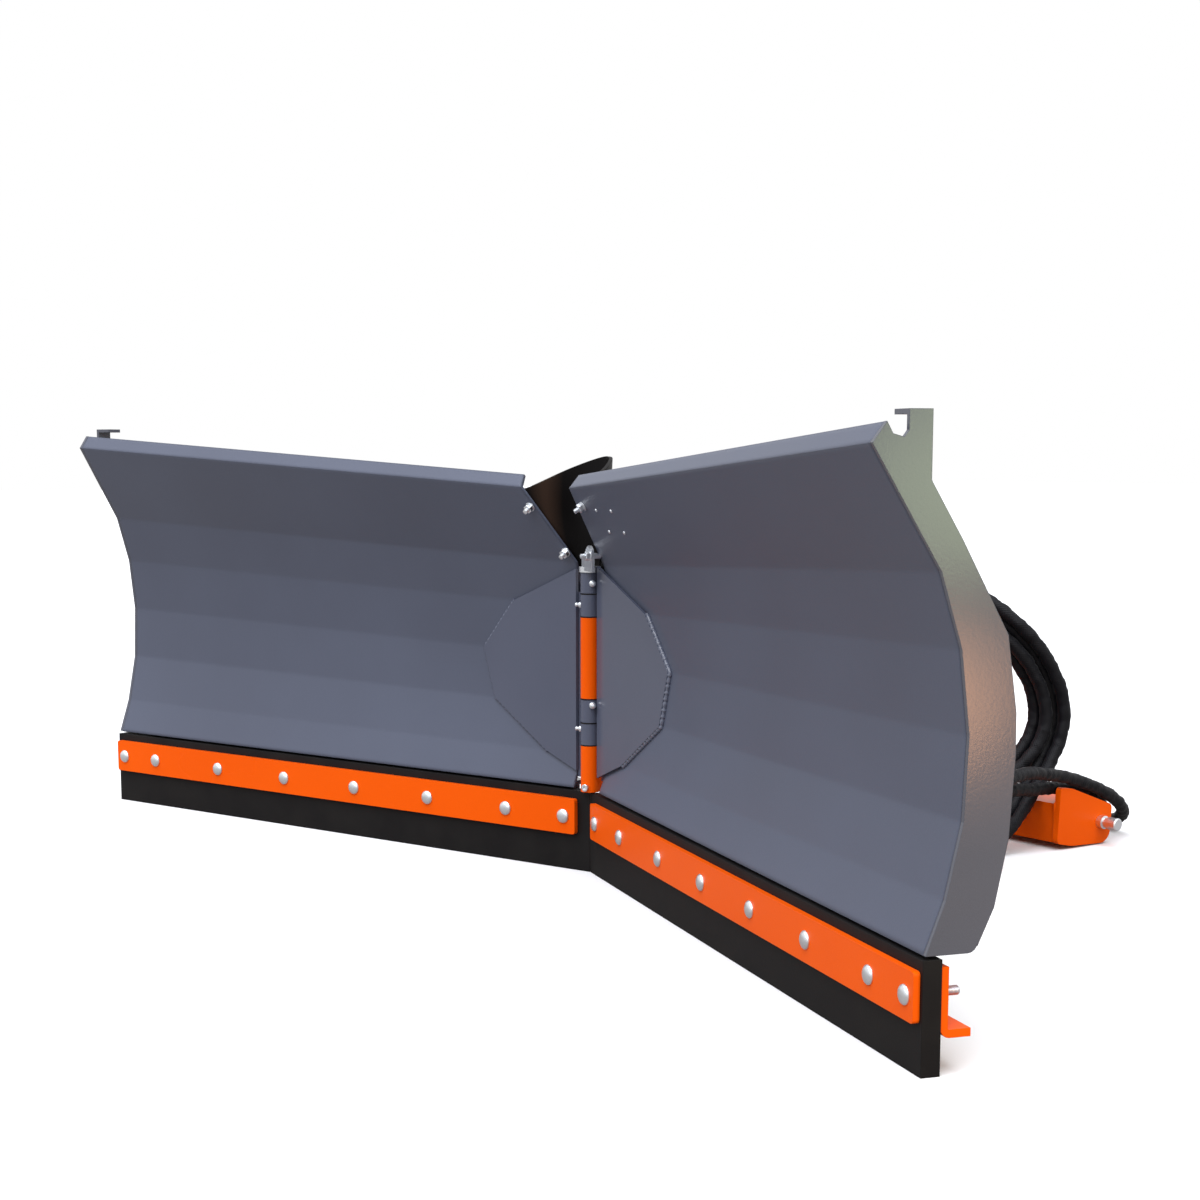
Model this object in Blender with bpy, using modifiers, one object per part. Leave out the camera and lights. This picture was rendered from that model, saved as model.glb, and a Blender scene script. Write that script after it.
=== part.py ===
"""Hydraulic V snow plough: two hinged wings swung forward, a three-point headstock and hoses.

Metres, +Z up. The wings face -Y, and the part stands on its rubber edges at z = 0.
Each wing is drawn in its own frame: X along the wing from the hinge pin, Y backwards, Z up.
"""

import math

import bmesh
import bpy
from mathutils import Matrix, Vector

# Fits
GAP = 0.0003  # between pieces that touch
RUNNING_GAP = 0.0005  # between pieces that slide past each other
SWING_GAP = 0.0015  # between a hinge knuckle and the bars that swing round it

# Wings and their swing
WING_LENGTH = 1.000  # hinge pin to the outer face of the end cheek
WING_FORWARD = math.radians(17.2)  # swing ahead of straight, at rest
WING_SWING = math.radians(42.2)  # swing back from rest to the V

# Mouldboard: one folded sheet, drawn at the outer end and tapering to the hinge
SHEET = 0.004
FOOT_HEIGHT = 0.1158
FOOT_SETBACK = 0.0025
HINGE_TAPER = 0.875  # size of the folded profile at the hinge, the outer end being 1
FACETS = (  # length up the sheet, forward lean in degrees
    (0.0546, -20.9),
    (0.0748, -12.7),
    (0.0801, -2.5),
    (0.0806, 6.8),
    (0.0745, 17.6),
    (0.1352, 31.7),
    (0.0236, -36.4),
)
INNER_EDGE = 0.0310  # the sheet starts this far from the pin
CORNER_CUT = (0.046, 0.050)  # the inner top corner is cut back this far at the two lip folds

# Flat half-moon plate over the hinge end of the mouldboard
DEFLECTOR = 0.005
DEFLECTOR_SETBACK = 0.002
DEFLECTOR_SLOPE = 0.14
DEFLECTOR_START = {"left": 0.0290, "right": 0.0160}  # distance from the pin

# End cheek
CHEEK = 0.005
CHEEK_ARM = (0.002, 0.0255)  # forward reach of the hook's arm, back and front
CHEEK_TOP = 0.616
CHEEK_TAB = 0.025  # the arm's top is bent inwards this far
CHEEK_NOTCH = ((0.041, 0.594), (0.030, 0.591), (0.0255, 0.597))
CHEEK_BACK = (  # setback and height of the rear edge, from the arm down
    (-0.002, 0.553),
    (0.031, 0.499),
    (0.0795, 0.412),
    (0.0900, 0.340),
    (0.0905, 0.300),
    (0.0855, 0.221),
    (0.0725, 0.158),
    (0.0560, 0.122),
)
CHEEK_CORNER = 0.010

# Cutting edge: clamp strip, rubber, angle and the bar that carries them
RUBBER_HEIGHT = 0.112
RUBBER = 0.020
RUBBER_MITRE = 0.0005
STRIP = 0.007
STRIP_HEIGHT = 0.050
STRIP_BASE = 0.051
STRIP_ENDS = (0.022, 0.996)
STRIP_CORNER = 0.004
ANGLE = 0.008
ANGLE_BASE = 0.0355
ANGLE_HEIGHT = 0.0685
ANGLE_FOOT = 0.032
ANGLE_ENDS = (0.030, 0.998)
ANGLE_BEND = 0.010
CARRIER = 0.006
CARRIER_BASE = 0.050
CARRIER_ENDS = (0.045, 0.950)
RAIL = 0.006
RAIL_BACK = 0.046
RAIL_START = 0.040

# Wing back: ribs and the slotted bracket that the cylinder pushes
RIB = 0.006
BRACKET_RIBS = (0.120, 0.240)  # the two ribs beside the cylinder bracket
OUTER_RIB = 0.600
EAR = 0.008
EAR_BACK = 0.140

# Hinge
PIN_RADIUS = 0.008
PIN_CAP = (0.015, 0.0075)  # radius and height
BORE_RADIUS = 0.0082
KNUCKLE_RADIUS = 0.013
KNUCKLES = {  # bottom and top of each knuckle, up the pin
    "frame": ((0.1135, 0.178), (0.2435, 0.355)),
    "left": ((0.178, 0.2105), (0.355, 0.388)),
    "right": ((0.2105, 0.2435), (0.388, 0.4165)),
}
HINGE_BAR = 0.006
HINGE_BAR_BASE = 0.130
WEB = 0.010

# Frame behind the hinge
POST_FRONT = 0.075
POST = 0.050
POST_WIDTH = 0.060
BEAM_WIDTH = 0.080
BEAM_SIDE = 0.060  # height of the beam
BEAM_WALL = 0.005
BEAM_HEIGHT = 0.260  # height of the beam's and the cylinders' centre line
HEADSTOCK_FRONT = 0.650
HEADSTOCK_DEPTH = 0.080
HEADSTOCK_BASE = 0.010
HEADSTOCK_HEIGHT = 0.058
HEADSTOCK_HALF = 0.262
MAST_WIDTH = 0.070
MAST_DEPTH = 0.060
MAST_TOP = 0.300
BRACE = 0.010
BRACE_FOOT = 0.085
BRACE_TOP = 0.255
BRACE_WIDTH = 0.045
CLEVIS_EAR = 0.010
CLEVIS_GAP = 0.046
CLEVIS_RISE = 0.070
CLEVIS_BASE = 0.010
CLEVIS_HOLE = 0.0083
LUG = 0.010
LUG_OUTLINE = (  # reach behind the headstock's front, height
    (0.000, 0.093),
    (0.024, 0.090),
    (0.113, 0.0575),
    (0.109, 0.011),
    (0.096, 0.001),
    (0.026, 0.0036),
    (-0.005, 0.010),
)
LUG_CORNER = 0.007
HITCH_PIN = (0.0095, 0.035)  # radius and length
HITCH_PIN_SETBACK = 0.087
HITCH_PIN_HEIGHT = 0.034

# Swing cylinders
CYLINDER_BASE = (0.080, 0.500)  # pivot on the frame
CYLINDER_TIP = (0.180, 0.115)  # pivot on the wing, in the wing's frame
BARREL_RADIUS = 0.025
CHAMBER_RADIUS = 0.020
BARREL_END = 0.285
EYE_RADIUS = 0.022
ROD_RADIUS = 0.0125
PISTON = 0.030
PIVOT_RADIUS = 0.009
BASE_EYE_HEIGHT = 0.058
ROD_EYE_HEIGHT = 0.040
SLOT_TRAVEL = 0.0205
SLOT_ANGLE = math.radians(209.0)
SLOT_CLEARANCE = 0.0032
PLATE = 0.010
PLATE_HALF = 0.115
PLATE_REACH = 0.035
PORTS = (0.080, 0.255)  # along the barrel
PORT_RADIUS = 0.011
PORT_RISE = 0.012
ELBOW_HEIGHT = 0.054  # above the barrel's centre line
ELBOW_RADIUS = 0.0085
ELBOW_REACH = 0.028
ELBOW_RISE = math.radians(15)
ELBOW_TURNS = (math.radians(242.1), math.radians(198.1))  # from the barrel's direction

# Rubber flap over the gap between the wings
FLAP = 0.005
FLAP_GRIP = 0.030  # reach behind each mouldboard
FLAP_BULGE = (0.018, 0.030)  # backward reach at the bottom and the top
FLAP_BASE = 0.422
FLAP_TOP = 0.530
FLAP_CREST = 0.573

# Hoses
HOSE_RADIUS = 0.0097
HOSE_SPACING = 0.0210  # in the guide
HOSE_STEP = 0.027
COUPLER_LENGTH = 0.062
GUIDE_PLACE = (0.036, 0.546, 0.401)  # the top hose's centre in the guide
GUIDE_TURN = math.radians(45)
GUIDE_WIRE = 0.004
GUIDE_CLEARANCE = 0.011

ROUND = 32  # sides of a hinge part
SMALL_ROUND = 20

PAINT_GREY = ("grey_powder_coat", (0.105, 0.115, 0.140, 1), 0.42, 0.0)
PAINT_ORANGE = ("orange_powder_coat", (0.900, 0.125, 0.008, 1), 0.38, 0.0)
RUBBER_BLACK = ("black_rubber", (0.016, 0.015, 0.015, 1), 0.75, 0.0)
ZINC = ("zinc_plate", (0.62, 0.64, 0.68, 1), 0.30, 1.0)
CHROME = ("hard_chrome", (0.70, 0.71, 0.73, 1), 0.12, 1.0)

for old in list(bpy.data.objects):
    bpy.data.objects.remove(old, do_unlink=True)
PARTS = bpy.data.collections.new("v_snow_plough")
CUTTERS = bpy.data.collections.new("cutters")
for each in (PARTS, CUTTERS):
    bpy.context.scene.collection.children.link(each)


def finish_of(spec):
    name, colour, roughness, metallic = spec
    found = bpy.data.materials.get(name)
    if found:
        return found
    made = bpy.data.materials.new(name)
    made.use_nodes = True
    shader = made.node_tree.nodes["Principled BSDF"]
    shader.inputs["Base Color"].default_value = colour
    shader.inputs["Roughness"].default_value = roughness
    shader.inputs["Metallic"].default_value = metallic
    made.diffuse_color = colour
    return made


def add_object(name, data, finish=None, parent=None):
    made = bpy.data.objects.new(name, data)
    PARTS.objects.link(made)
    if finish:
        data.materials.clear()
        data.materials.append(finish_of(finish))
    made.parent = parent
    return made


def empty(name, place, turn=0.0):
    made = bpy.data.objects.new(name, None)
    PARTS.objects.link(made)
    made.location = place
    made.rotation_euler = (0, 0, turn)
    return made


def mesh_from(build):
    """A new mesh from a function that fills a bmesh, with its faces pointing out."""
    shape = bmesh.new()
    build(shape)
    bmesh.ops.remove_doubles(shape, verts=shape.verts, dist=1e-6)
    bmesh.ops.recalc_face_normals(shape, faces=shape.faces)
    mesh = bpy.data.meshes.new("shape")
    shape.to_mesh(mesh)
    shape.free()
    return mesh


def evaluated(data, modifiers=()):
    """The mesh of a curve or mesh after its modifiers, as a new mesh."""
    helper = bpy.data.objects.new("helper", data)
    bpy.context.scene.collection.objects.link(helper)
    for kind, settings in modifiers:
        modifier = helper.modifiers.new(kind, kind)
        for key, value in settings.items():
            setattr(modifier, key, value)
    bpy.context.view_layer.update()
    graph = bpy.context.evaluated_depsgraph_get()
    mesh = bpy.data.meshes.new_from_object(helper.evaluated_get(graph))
    bpy.data.objects.remove(helper, do_unlink=True)
    return mesh


def welded(mesh):
    def fill(shape):
        shape.from_mesh(mesh)

    return mesh_from(fill)


def box(low, high):
    middle = (Vector(low) + Vector(high)) / 2
    size = Vector(high) - Vector(low)

    def fill(shape):
        bmesh.ops.create_cube(shape, size=1, matrix=Matrix.LocRotScale(middle, None, size))

    return mesh_from(fill)


def rod(start, end, radius, sides=ROUND, tip=None):
    """A cylinder from start to end, or a cone if the tip has its own radius."""
    start, end = Vector(start), Vector(end)
    turn = Vector((0, 0, 1)).rotation_difference(end - start).to_matrix().to_4x4()
    place = Matrix.Translation((start + end) / 2) @ turn

    def fill(shape):
        bmesh.ops.create_cone(
            shape,
            cap_ends=True,
            segments=sides,
            radius1=radius,
            radius2=radius if tip is None else tip,
            depth=(end - start).length,
            matrix=place,
        )

    return mesh_from(fill)


def plate(outline, thickness, place):
    """A flat outline with this thickness, centred on the plane that place maps XY to."""
    curve = bpy.data.curves.new("outline", "CURVE")
    curve.dimensions = "2D"
    curve.fill_mode = "BOTH"
    curve.extrude = thickness / 2
    spline = curve.splines.new("POLY")
    spline.points.add(len(outline) - 1)
    for point, (x, y) in zip(spline.points, outline):
        point.co = (x, y, 0, 1)
    spline.use_cyclic_u = True
    mesh = welded(evaluated(curve))
    mesh.transform(place)
    return welded(mesh)


def turned(profile, place, steps=SMALL_ROUND):
    """A profile of (radius, height), from the top down, turned about Z."""
    mesh = bpy.data.meshes.new("profile")
    points = [(radius, 0, height) for radius, height in profile]
    mesh.from_pydata(points, [(i, i + 1) for i in range(len(points) - 1)], [])
    screw = {
        "steps": steps,
        "render_steps": steps,
        "use_merge_vertices": True,
        "merge_threshold": 1e-5,
    }
    mesh = welded(evaluated(mesh, [("SCREW", screw)]))
    mesh.transform(place)
    return mesh


def combined(mesh, others, operation):
    """The mesh joined with, or cut by, each of the others."""
    for other in others:
        tool = bpy.data.objects.new("tool", other)
        CUTTERS.objects.link(tool)
        tool.hide_render = True
        tool.display_type = "WIRE"
        mesh = welded(evaluated(mesh, [("BOOLEAN", {"operation": operation, "object": tool})]))
        bpy.data.objects.remove(tool, do_unlink=True)
    return mesh


def joined(mesh, *others):
    return combined(mesh, others, "UNION")


def cut(mesh, *others):
    return combined(mesh, others, "DIFFERENCE")


def bevelled(mesh, width, segments=2):
    settings = {"width": width, "segments": segments, "limit_method": "ANGLE"}
    return welded(evaluated(mesh, [("BEVEL", settings)]))


def arc(centre, radius, start, end, steps=4):
    """Points on an arc, angles in degrees."""
    found = []
    for i in range(steps + 1):
        angle = math.radians(start + (end - start) * i / steps)
        found.append((centre[0] + radius * math.cos(angle), centre[1] + radius * math.sin(angle)))
    return found


def rounded_rectangle(low, high, radius):
    inner = (low[0] + radius, low[1] + radius, high[0] - radius, high[1] - radius)
    return (
        arc((inner[2], inner[3]), radius, 0, 90)
        + arc((inner[0], inner[3]), radius, 90, 180)
        + arc((inner[0], inner[1]), radius, 180, 270)
        + arc((inner[2], inner[1]), radius, 270, 360)
    )


def softened(outline, reach, steps=4):
    """A closed outline with its corners rounded off, from this far before each to this far after."""
    found = []
    for i, point in enumerate(outline):
        corner = Vector(point)
        before = Vector(outline[i - 1]) - corner
        after = Vector(outline[(i + 1) % len(outline)]) - corner
        start = corner + before.normalized() * reach
        end = corner + after.normalized() * reach
        for k in range(steps + 1):
            share = k / steps
            place = start.lerp(corner, share).lerp(corner.lerp(end, share), share)
            found.append((place.x, place.y))
    return found


def slot_outline(centre, travel, angle, radius, steps=8):
    """A slot from its centre point along the angle, with round ends."""
    far = (centre[0] + travel * math.cos(angle), centre[1] + travel * math.sin(angle))
    turn = math.degrees(angle)
    return arc(far, radius, turn - 90, turn + 90, steps) + arc(centre, radius, turn + 90, turn + 270, steps)


def taper(along):
    return HINGE_TAPER + (1 - HINGE_TAPER) * along / WING_LENGTH


def folds(along):
    """Setback and height of the mouldboard's folds, foot to lip, at this distance from the pin."""
    setback, height = FOOT_SETBACK, FOOT_HEIGHT
    found = [(setback, height)]
    for length, lean in FACETS:
        step = length * taper(along)
        setback -= step * math.sin(math.radians(lean))
        height += step * math.cos(math.radians(lean))
        found.append((setback, height))
    return found


def behind(points, distance):
    """The open path moved backwards by this distance, square to its runs."""
    normals = []
    for (y0, z0), (y1, z1) in zip(points, points[1:]):
        run = math.hypot(y1 - y0, z1 - z0)
        normals.append(((z1 - z0) / run, -(y1 - y0) / run))
    moved = []
    for i, (y, z) in enumerate(points):
        first = normals[max(i - 1, 0)]
        second = normals[min(i, len(normals) - 1)]
        scale = distance / (1 + first[0] * second[0] + first[1] * second[1])
        moved.append((y + (first[0] + second[0]) * scale, z + (first[1] + second[1]) * scale))
    return moved


def setback_at(path, height):
    for (y0, z0), (y1, z1) in zip(path, path[1:]):
        if z0 <= height <= z1:
            return y0 + (y1 - y0) * (height - z0) / (z1 - z0)
    return path[-1][0]


# Maps a (setback, height) outline into the YZ plane at X = along
def upright(along):
    return Matrix(((0, 0, 1, along), (1, 0, 0, 0), (0, 1, 0, 0), (0, 0, 0, 1)))


# Maps an (along, height) outline into the XZ plane at Y = setback
def facing(setback):
    return Matrix(((1, 0, 0, 0), (0, 0, 1, setback), (0, 1, 0, 0), (0, 0, 0, 1)))


def level(height):
    return Matrix.Translation((0, 0, height))


def mouldboard():
    starts = [INNER_EDGE] * (len(FACETS) - 1) + [INNER_EDGE + reach for reach in CORNER_CUT]
    end = WING_LENGTH - CHEEK - GAP
    inner = [(start, *folds(start)[i]) for i, start in enumerate(starts)]
    outer = [(end, *point) for point in folds(end)]
    faces = [(i, i + 1, i + 1 + len(inner), i + len(inner)) for i in range(len(inner) - 1)]
    sheet = bpy.data.meshes.new("sheet")
    sheet.from_pydata(inner + outer, [], faces)
    solid = {"thickness": SHEET, "offset": 1.0, "use_even_offset": True}
    made = evaluated(sheet, [("SOLIDIFY", solid)])
    return welded(made)


def deflector(side):
    """The flat plate's edge runs where its back meets each fold of the mouldboard."""
    tilt = math.atan(DEFLECTOR_SLOPE)
    back = behind_deflector(0)
    inner = DEFLECTOR_START[side]
    at_hinge, at_end = folds(0), folds(WING_LENGTH)
    edge = []
    for (y0, z0), (y1, z1) in zip(at_hinge, at_end):
        slope = DEFLECTOR_SLOPE - (y1 - y0) / WING_LENGTH
        along = (y0 - back) / slope
        if along > inner:
            edge.append((along, z0 + (z1 - z0) * along / WING_LENGTH))
    path = folds(inner)
    wanted = back + DEFLECTOR_SLOPE * inner
    crossings = []
    for (y0, z0), (y1, z1) in zip(path, path[1:]):
        if min(y0, y1) < wanted <= max(y0, y1):
            crossings.append((inner, z0 + (z1 - z0) * (wanted - y0) / (y1 - y0)))
    outline = [crossings[0]] + edge + [crossings[1]]
    outline = [(along / math.cos(tilt), height) for along, height in outline]
    middle = DEFLECTOR_SETBACK + DEFLECTOR / 2
    place = Matrix.Translation((0, middle, 0)) @ Matrix.Rotation(tilt, 4, "Z")
    return plate(outline, DEFLECTOR, place @ facing(0))


def cheek_back(scale):
    """The rear edge of a cheek or rib, tapered towards the foot like the mouldboard."""
    found = []
    for setback, height in CHEEK_BACK:
        found.append((setback * scale, FOOT_HEIGHT + (height - FOOT_HEIGHT) * scale))
    return found


def cheek():
    back, front = (-reach for reach in CHEEK_ARM)
    foot = CHEEK_BACK[-1]
    corner = (foot[0] - CHEEK_CORNER, FOOT_HEIGHT + CHEEK_CORNER)
    outline = folds(WING_LENGTH)
    outline += [(-reach, height) for reach, height in CHEEK_NOTCH]
    outline += [(front, CHEEK_TOP), (back, CHEEK_TOP)]
    outline += cheek_back(1)
    outline += arc(corner, CHEEK_CORNER, 0, -90)
    side = plate(outline, CHEEK, upright(WING_LENGTH - CHEEK / 2))
    inside = WING_LENGTH - CHEEK - CHEEK_TAB
    tab = box((inside, front, CHEEK_TOP - CHEEK), (WING_LENGTH - CHEEK / 2, back, CHEEK_TOP))
    return joined(side, tab)


def rubber_edge():
    mitre = math.tan(WING_SWING - WING_FORWARD)
    outline = [
        (RUBBER_MITRE, 0),
        (WING_LENGTH, 0),
        (WING_LENGTH, RUBBER),
        (RUBBER_MITRE + RUBBER * mitre, RUBBER),
    ]
    return plate(outline, RUBBER_HEIGHT, level(RUBBER_HEIGHT / 2))


def clamp_strip():
    low, high = (STRIP_ENDS[0], STRIP_BASE), (STRIP_ENDS[1], STRIP_BASE + STRIP_HEIGHT)
    outline = rounded_rectangle(low, high, STRIP_CORNER)
    return plate(outline, STRIP, facing(-GAP - STRIP / 2))


def along_wing(outline, ends):
    """A (setback, height) section drawn along the wing between two distances from the pin."""
    return plate(outline, ends[1] - ends[0], upright((ends[0] + ends[1]) / 2))


def edge_angle():
    front = RUBBER + GAP
    top = ANGLE_BASE + ANGLE_HEIGHT
    inner = ANGLE_BEND - ANGLE
    centre = (front + ANGLE_BEND, ANGLE_BASE + ANGLE_BEND)
    outline = [(front, top), (front, centre[1])]
    outline += arc(centre, ANGLE_BEND, 180, 270)
    outline += [(front + ANGLE_FOOT, ANGLE_BASE), (front + ANGLE_FOOT, ANGLE_BASE + ANGLE)]
    outline += arc(centre, inner, 270, 180)
    outline += [(front + ANGLE, top)]
    return along_wing(outline, ANGLE_ENDS)


def edge_carrier():
    front = RUBBER + GAP + ANGLE + GAP
    low, high = (front, CARRIER_BASE), (front + CARRIER, FOOT_HEIGHT)
    outline = [low, (high[0], low[1]), high, (low[0], high[1])]
    return along_wing(outline, CARRIER_ENDS)


def bottom_rail():
    base = FOOT_HEIGHT + GAP
    wall = behind(folds(WING_LENGTH), SHEET + GAP)
    front = setback_at(wall, base + RAIL) + GAP
    outline = [(front, base), (RAIL_BACK, base), (RAIL_BACK, base + RAIL), (front, base + RAIL)]
    return along_wing(outline, (RAIL_START, WING_LENGTH - CHEEK - GAP))


def rib(along):
    """A vertical plate between the sheet's back and a rear edge like the cheek's."""
    path = behind(folds(along), SHEET + GAP)
    base = FOOT_HEIGHT + RAIL + 2 * GAP
    crown = path[5]
    lip = path[6]
    top = ((crown[0] + lip[0]) / 2, (crown[1] + lip[1]) / 2)
    front = [(setback_at(path, base), base)] + path[1:6] + [top]
    rear = [point for point in cheek_back(taper(along)) if base < point[1] < top[1]]
    rear.append((RAIL_BACK, base))
    return plate(front + rear, RIB, upright(along))


def cylinder_bracket():
    """Two level ears and the plate that joins them, slotted for the cylinder's pivot."""
    left = BRACKET_RIBS[0] + RIB / 2 + GAP
    right = BRACKET_RIBS[1] - RIB / 2 - GAP
    half = ROD_EYE_HEIGHT / 2 + RUNNING_GAP
    low, high = BEAM_HEIGHT - half - EAR, BEAM_HEIGHT + half + EAR
    wall = behind(folds(WING_LENGTH), SHEET + GAP)
    front = max(setback_at(wall, low), setback_at(wall, high)) + GAP
    outline = [(left, front), (right, front)]
    outline += arc((right - 2 * EAR, EAR_BACK - 2 * EAR), 2 * EAR, 0, 90)
    outline += arc((left + 2 * EAR, EAR_BACK - 2 * EAR), 2 * EAR, 90, 180)
    radius = PIVOT_RADIUS + SLOT_CLEARANCE
    slot = slot_outline(CYLINDER_TIP, SLOT_TRAVEL, SLOT_ANGLE, radius)
    hole = plate(slot, 2 * (high - low), level(BEAM_HEIGHT))
    solid = plate(outline, high - low, level(BEAM_HEIGHT))
    mouth = box((left - EAR, front + EAR, low + EAR), (right + EAR, EAR_BACK + EAR, high - EAR))
    return cut(solid, mouth, hole)


def behind_deflector(along):
    """Setback just behind the deflector, at this distance from the pin."""
    tilt = math.atan(DEFLECTOR_SLOPE)
    return DEFLECTOR_SETBACK + DEFLECTOR / math.cos(tilt) + DEFLECTOR_SLOPE * along + GAP


def wing_hinge(side):
    """Two knuckles on short arms and the upright bar that joins them, behind the deflector."""
    knuckles = KNUCKLES[side]
    clear = KNUCKLE_RADIUS + SWING_GAP
    outer = INNER_EDGE - GAP
    front = behind_deflector(outer)
    back = front + HINGE_BAR
    bar = box((clear, front, HINGE_BAR_BASE), (outer, back, knuckles[1][1] - GAP))
    pieces = []
    bores = []
    for low, high in knuckles:
        low, high = low + GAP / 2, high - GAP / 2
        pieces.append(rod((0, 0, low), (0, 0, high), KNUCKLE_RADIUS))
        pieces.append(box((0, KNUCKLE_RADIUS / 2, low), (clear + GAP, back, high)))
        bores.append(rod((0, 0, low - GAP), (0, 0, high + GAP), BORE_RADIUS))
    return cut(joined(bar, *pieces), *bores)


def hinge_pin():
    """Pin, cap and the upright flag that a bolt holds to the right wing."""
    base = KNUCKLES["frame"][0][0] + GAP
    top = KNUCKLES["right"][1][1] + GAP
    radius, rise = PIN_CAP
    cap = rod((0, 0, top), (0, 0, top + rise), radius, ROUND)
    shaft = rod((0, 0, base), (0, 0, top + rise / 2), PIN_RADIUS)
    reach = INNER_EDGE + radius
    front = -radius * 0.8
    foot = box((0, front, top + rise / 3), (reach, front + STRIP / 2, top + rise + radius))
    x, z = reach - radius, top + rise + radius
    round_top = rod((x, front, z), (x, front + STRIP / 2, z), radius, SMALL_ROUND)
    return joined(cap, shaft, foot, round_top)


def hinge_post():
    """The frame's two knuckles, the webs behind them and the plate they are welded to."""
    top = KNUCKLES["frame"][1][1]
    base = KNUCKLES["frame"][0][0]
    half = POST_WIDTH / 2
    pieces = []
    bores = []
    for low, high in KNUCKLES["frame"]:
        low, high = low + GAP / 2, high - GAP / 2
        pieces.append(rod((0, 0, low), (0, 0, high), KNUCKLE_RADIUS))
        pieces.append(box((-WEB / 2, KNUCKLE_RADIUS / 2, low), (WEB / 2, POST_FRONT + POST / 2, high)))
        bores.append(rod((0, 0, low - GAP), (0, 0, high + GAP), BORE_RADIUS))
    back = box((-half, POST_FRONT, base), (half, POST_FRONT + POST, top))
    return cut(joined(back, *pieces), *bores)


def square_tube(low, high, wall, axis):
    """A box tube, open at both ends of the axis."""
    inner_low = [value + wall for value in low]
    inner_high = [value - wall for value in high]
    inner_low[axis] = low[axis] - wall
    inner_high[axis] = high[axis] + wall
    return cut(box(low, high), box(inner_low, inner_high))


def main_beam():
    half, side = BEAM_SIDE / 2, BEAM_WIDTH / 2
    start = POST_FRONT + POST + GAP
    end = HEADSTOCK_FRONT - GAP
    low, high = (-side, start, BEAM_HEIGHT - half), (side, end, BEAM_HEIGHT + half)
    return square_tube(low, high, BEAM_WALL, 1)


def cylinder_plate(upper):
    """A level plate over or under the beam, with a hole for each cylinder's base pin."""
    offset = BEAM_SIDE / 2 + GAP + PLATE / 2
    height = BEAM_HEIGHT + (offset if upper else -offset)
    low = (-PLATE_HALF, CYLINDER_BASE[1] - PLATE_REACH)
    high = (PLATE_HALF, CYLINDER_BASE[1] + PLATE_REACH)
    outline = rounded_rectangle(low, high, PLATE_REACH / 2)
    holes = []
    for side in (-1, 1):
        x, y = side * CYLINDER_BASE[0], CYLINDER_BASE[1]
        radius = PIVOT_RADIUS + GAP
        holes.append(rod((x, y, height - PLATE), (x, y, height + PLATE), radius, SMALL_ROUND))
    return cut(plate(outline, PLATE, level(height)), *holes)


def headstock_beam():
    low = (-HEADSTOCK_HALF, HEADSTOCK_FRONT, HEADSTOCK_BASE)
    high = (HEADSTOCK_HALF, HEADSTOCK_FRONT + HEADSTOCK_DEPTH, HEADSTOCK_BASE + HEADSTOCK_HEIGHT)
    return square_tube(low, high, BEAM_WALL, 0)


def mast():
    base = HEADSTOCK_BASE + HEADSTOCK_HEIGHT + GAP
    half = MAST_WIDTH / 2
    low = (-half, HEADSTOCK_FRONT, base)
    high = (half, HEADSTOCK_FRONT + MAST_DEPTH, MAST_TOP)
    return square_tube(low, high, BEAM_WALL, 2)


def brace():
    """A slanted flat from the headstock beam to the mast's side, for the right side."""
    base = HEADSTOCK_BASE + HEADSTOCK_HEIGHT + GAP
    inner = MAST_WIDTH / 2 + GAP
    outline = [
        (BRACE_FOOT, base),
        (BRACE_FOOT + BRACE_WIDTH, base),
        (inner, BRACE_TOP),
        (inner, BRACE_TOP - 1.6 * BRACE_WIDTH),
    ]
    return plate(outline, BRACE, facing(HEADSTOCK_FRONT + MAST_DEPTH / 2))


def top_clevis():
    """Base plate and two ears for the upper link, holed for its pin."""
    base = MAST_TOP + GAP
    outer = CLEVIS_GAP / 2 + CLEVIS_EAR
    front, back = HEADSTOCK_FRONT, HEADSTOCK_FRONT + MAST_DEPTH
    centre = (front + MAST_DEPTH / 2, base + CLEVIS_RISE - MAST_DEPTH / 2)
    outline = [(front, base), (back, base)] + arc(centre, MAST_DEPTH / 2, 0, 180, 10)
    solid = plate(outline, 2 * outer, upright(0))
    mouth_low = (-CLEVIS_GAP / 2, front - CLEVIS_EAR, base + CLEVIS_BASE)
    mouth = box(mouth_low, (CLEVIS_GAP / 2, back + CLEVIS_EAR, base + 2 * CLEVIS_RISE))
    hole = rod((-2 * outer, *centre), (2 * outer, *centre), CLEVIS_HOLE, SMALL_ROUND)
    return cut(solid, mouth, hole)


def hitch_lug():
    """The plate that closes the headstock beam's right end and carries the lower pin."""
    outline = [(HEADSTOCK_FRONT + reach, height) for reach, height in LUG_OUTLINE]
    side = plate(softened(outline, LUG_CORNER), LUG, upright(HEADSTOCK_HALF + GAP + LUG / 2))
    centre = (HEADSTOCK_FRONT + HITCH_PIN_SETBACK, HITCH_PIN_HEIGHT)
    start, end = HEADSTOCK_HALF - LUG, HEADSTOCK_HALF + 2 * LUG
    hole = rod((start, *centre), (end, *centre), HITCH_PIN[0] * 0.7, SMALL_ROUND)
    return bevelled(cut(side, hole), LUG / 8)


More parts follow.
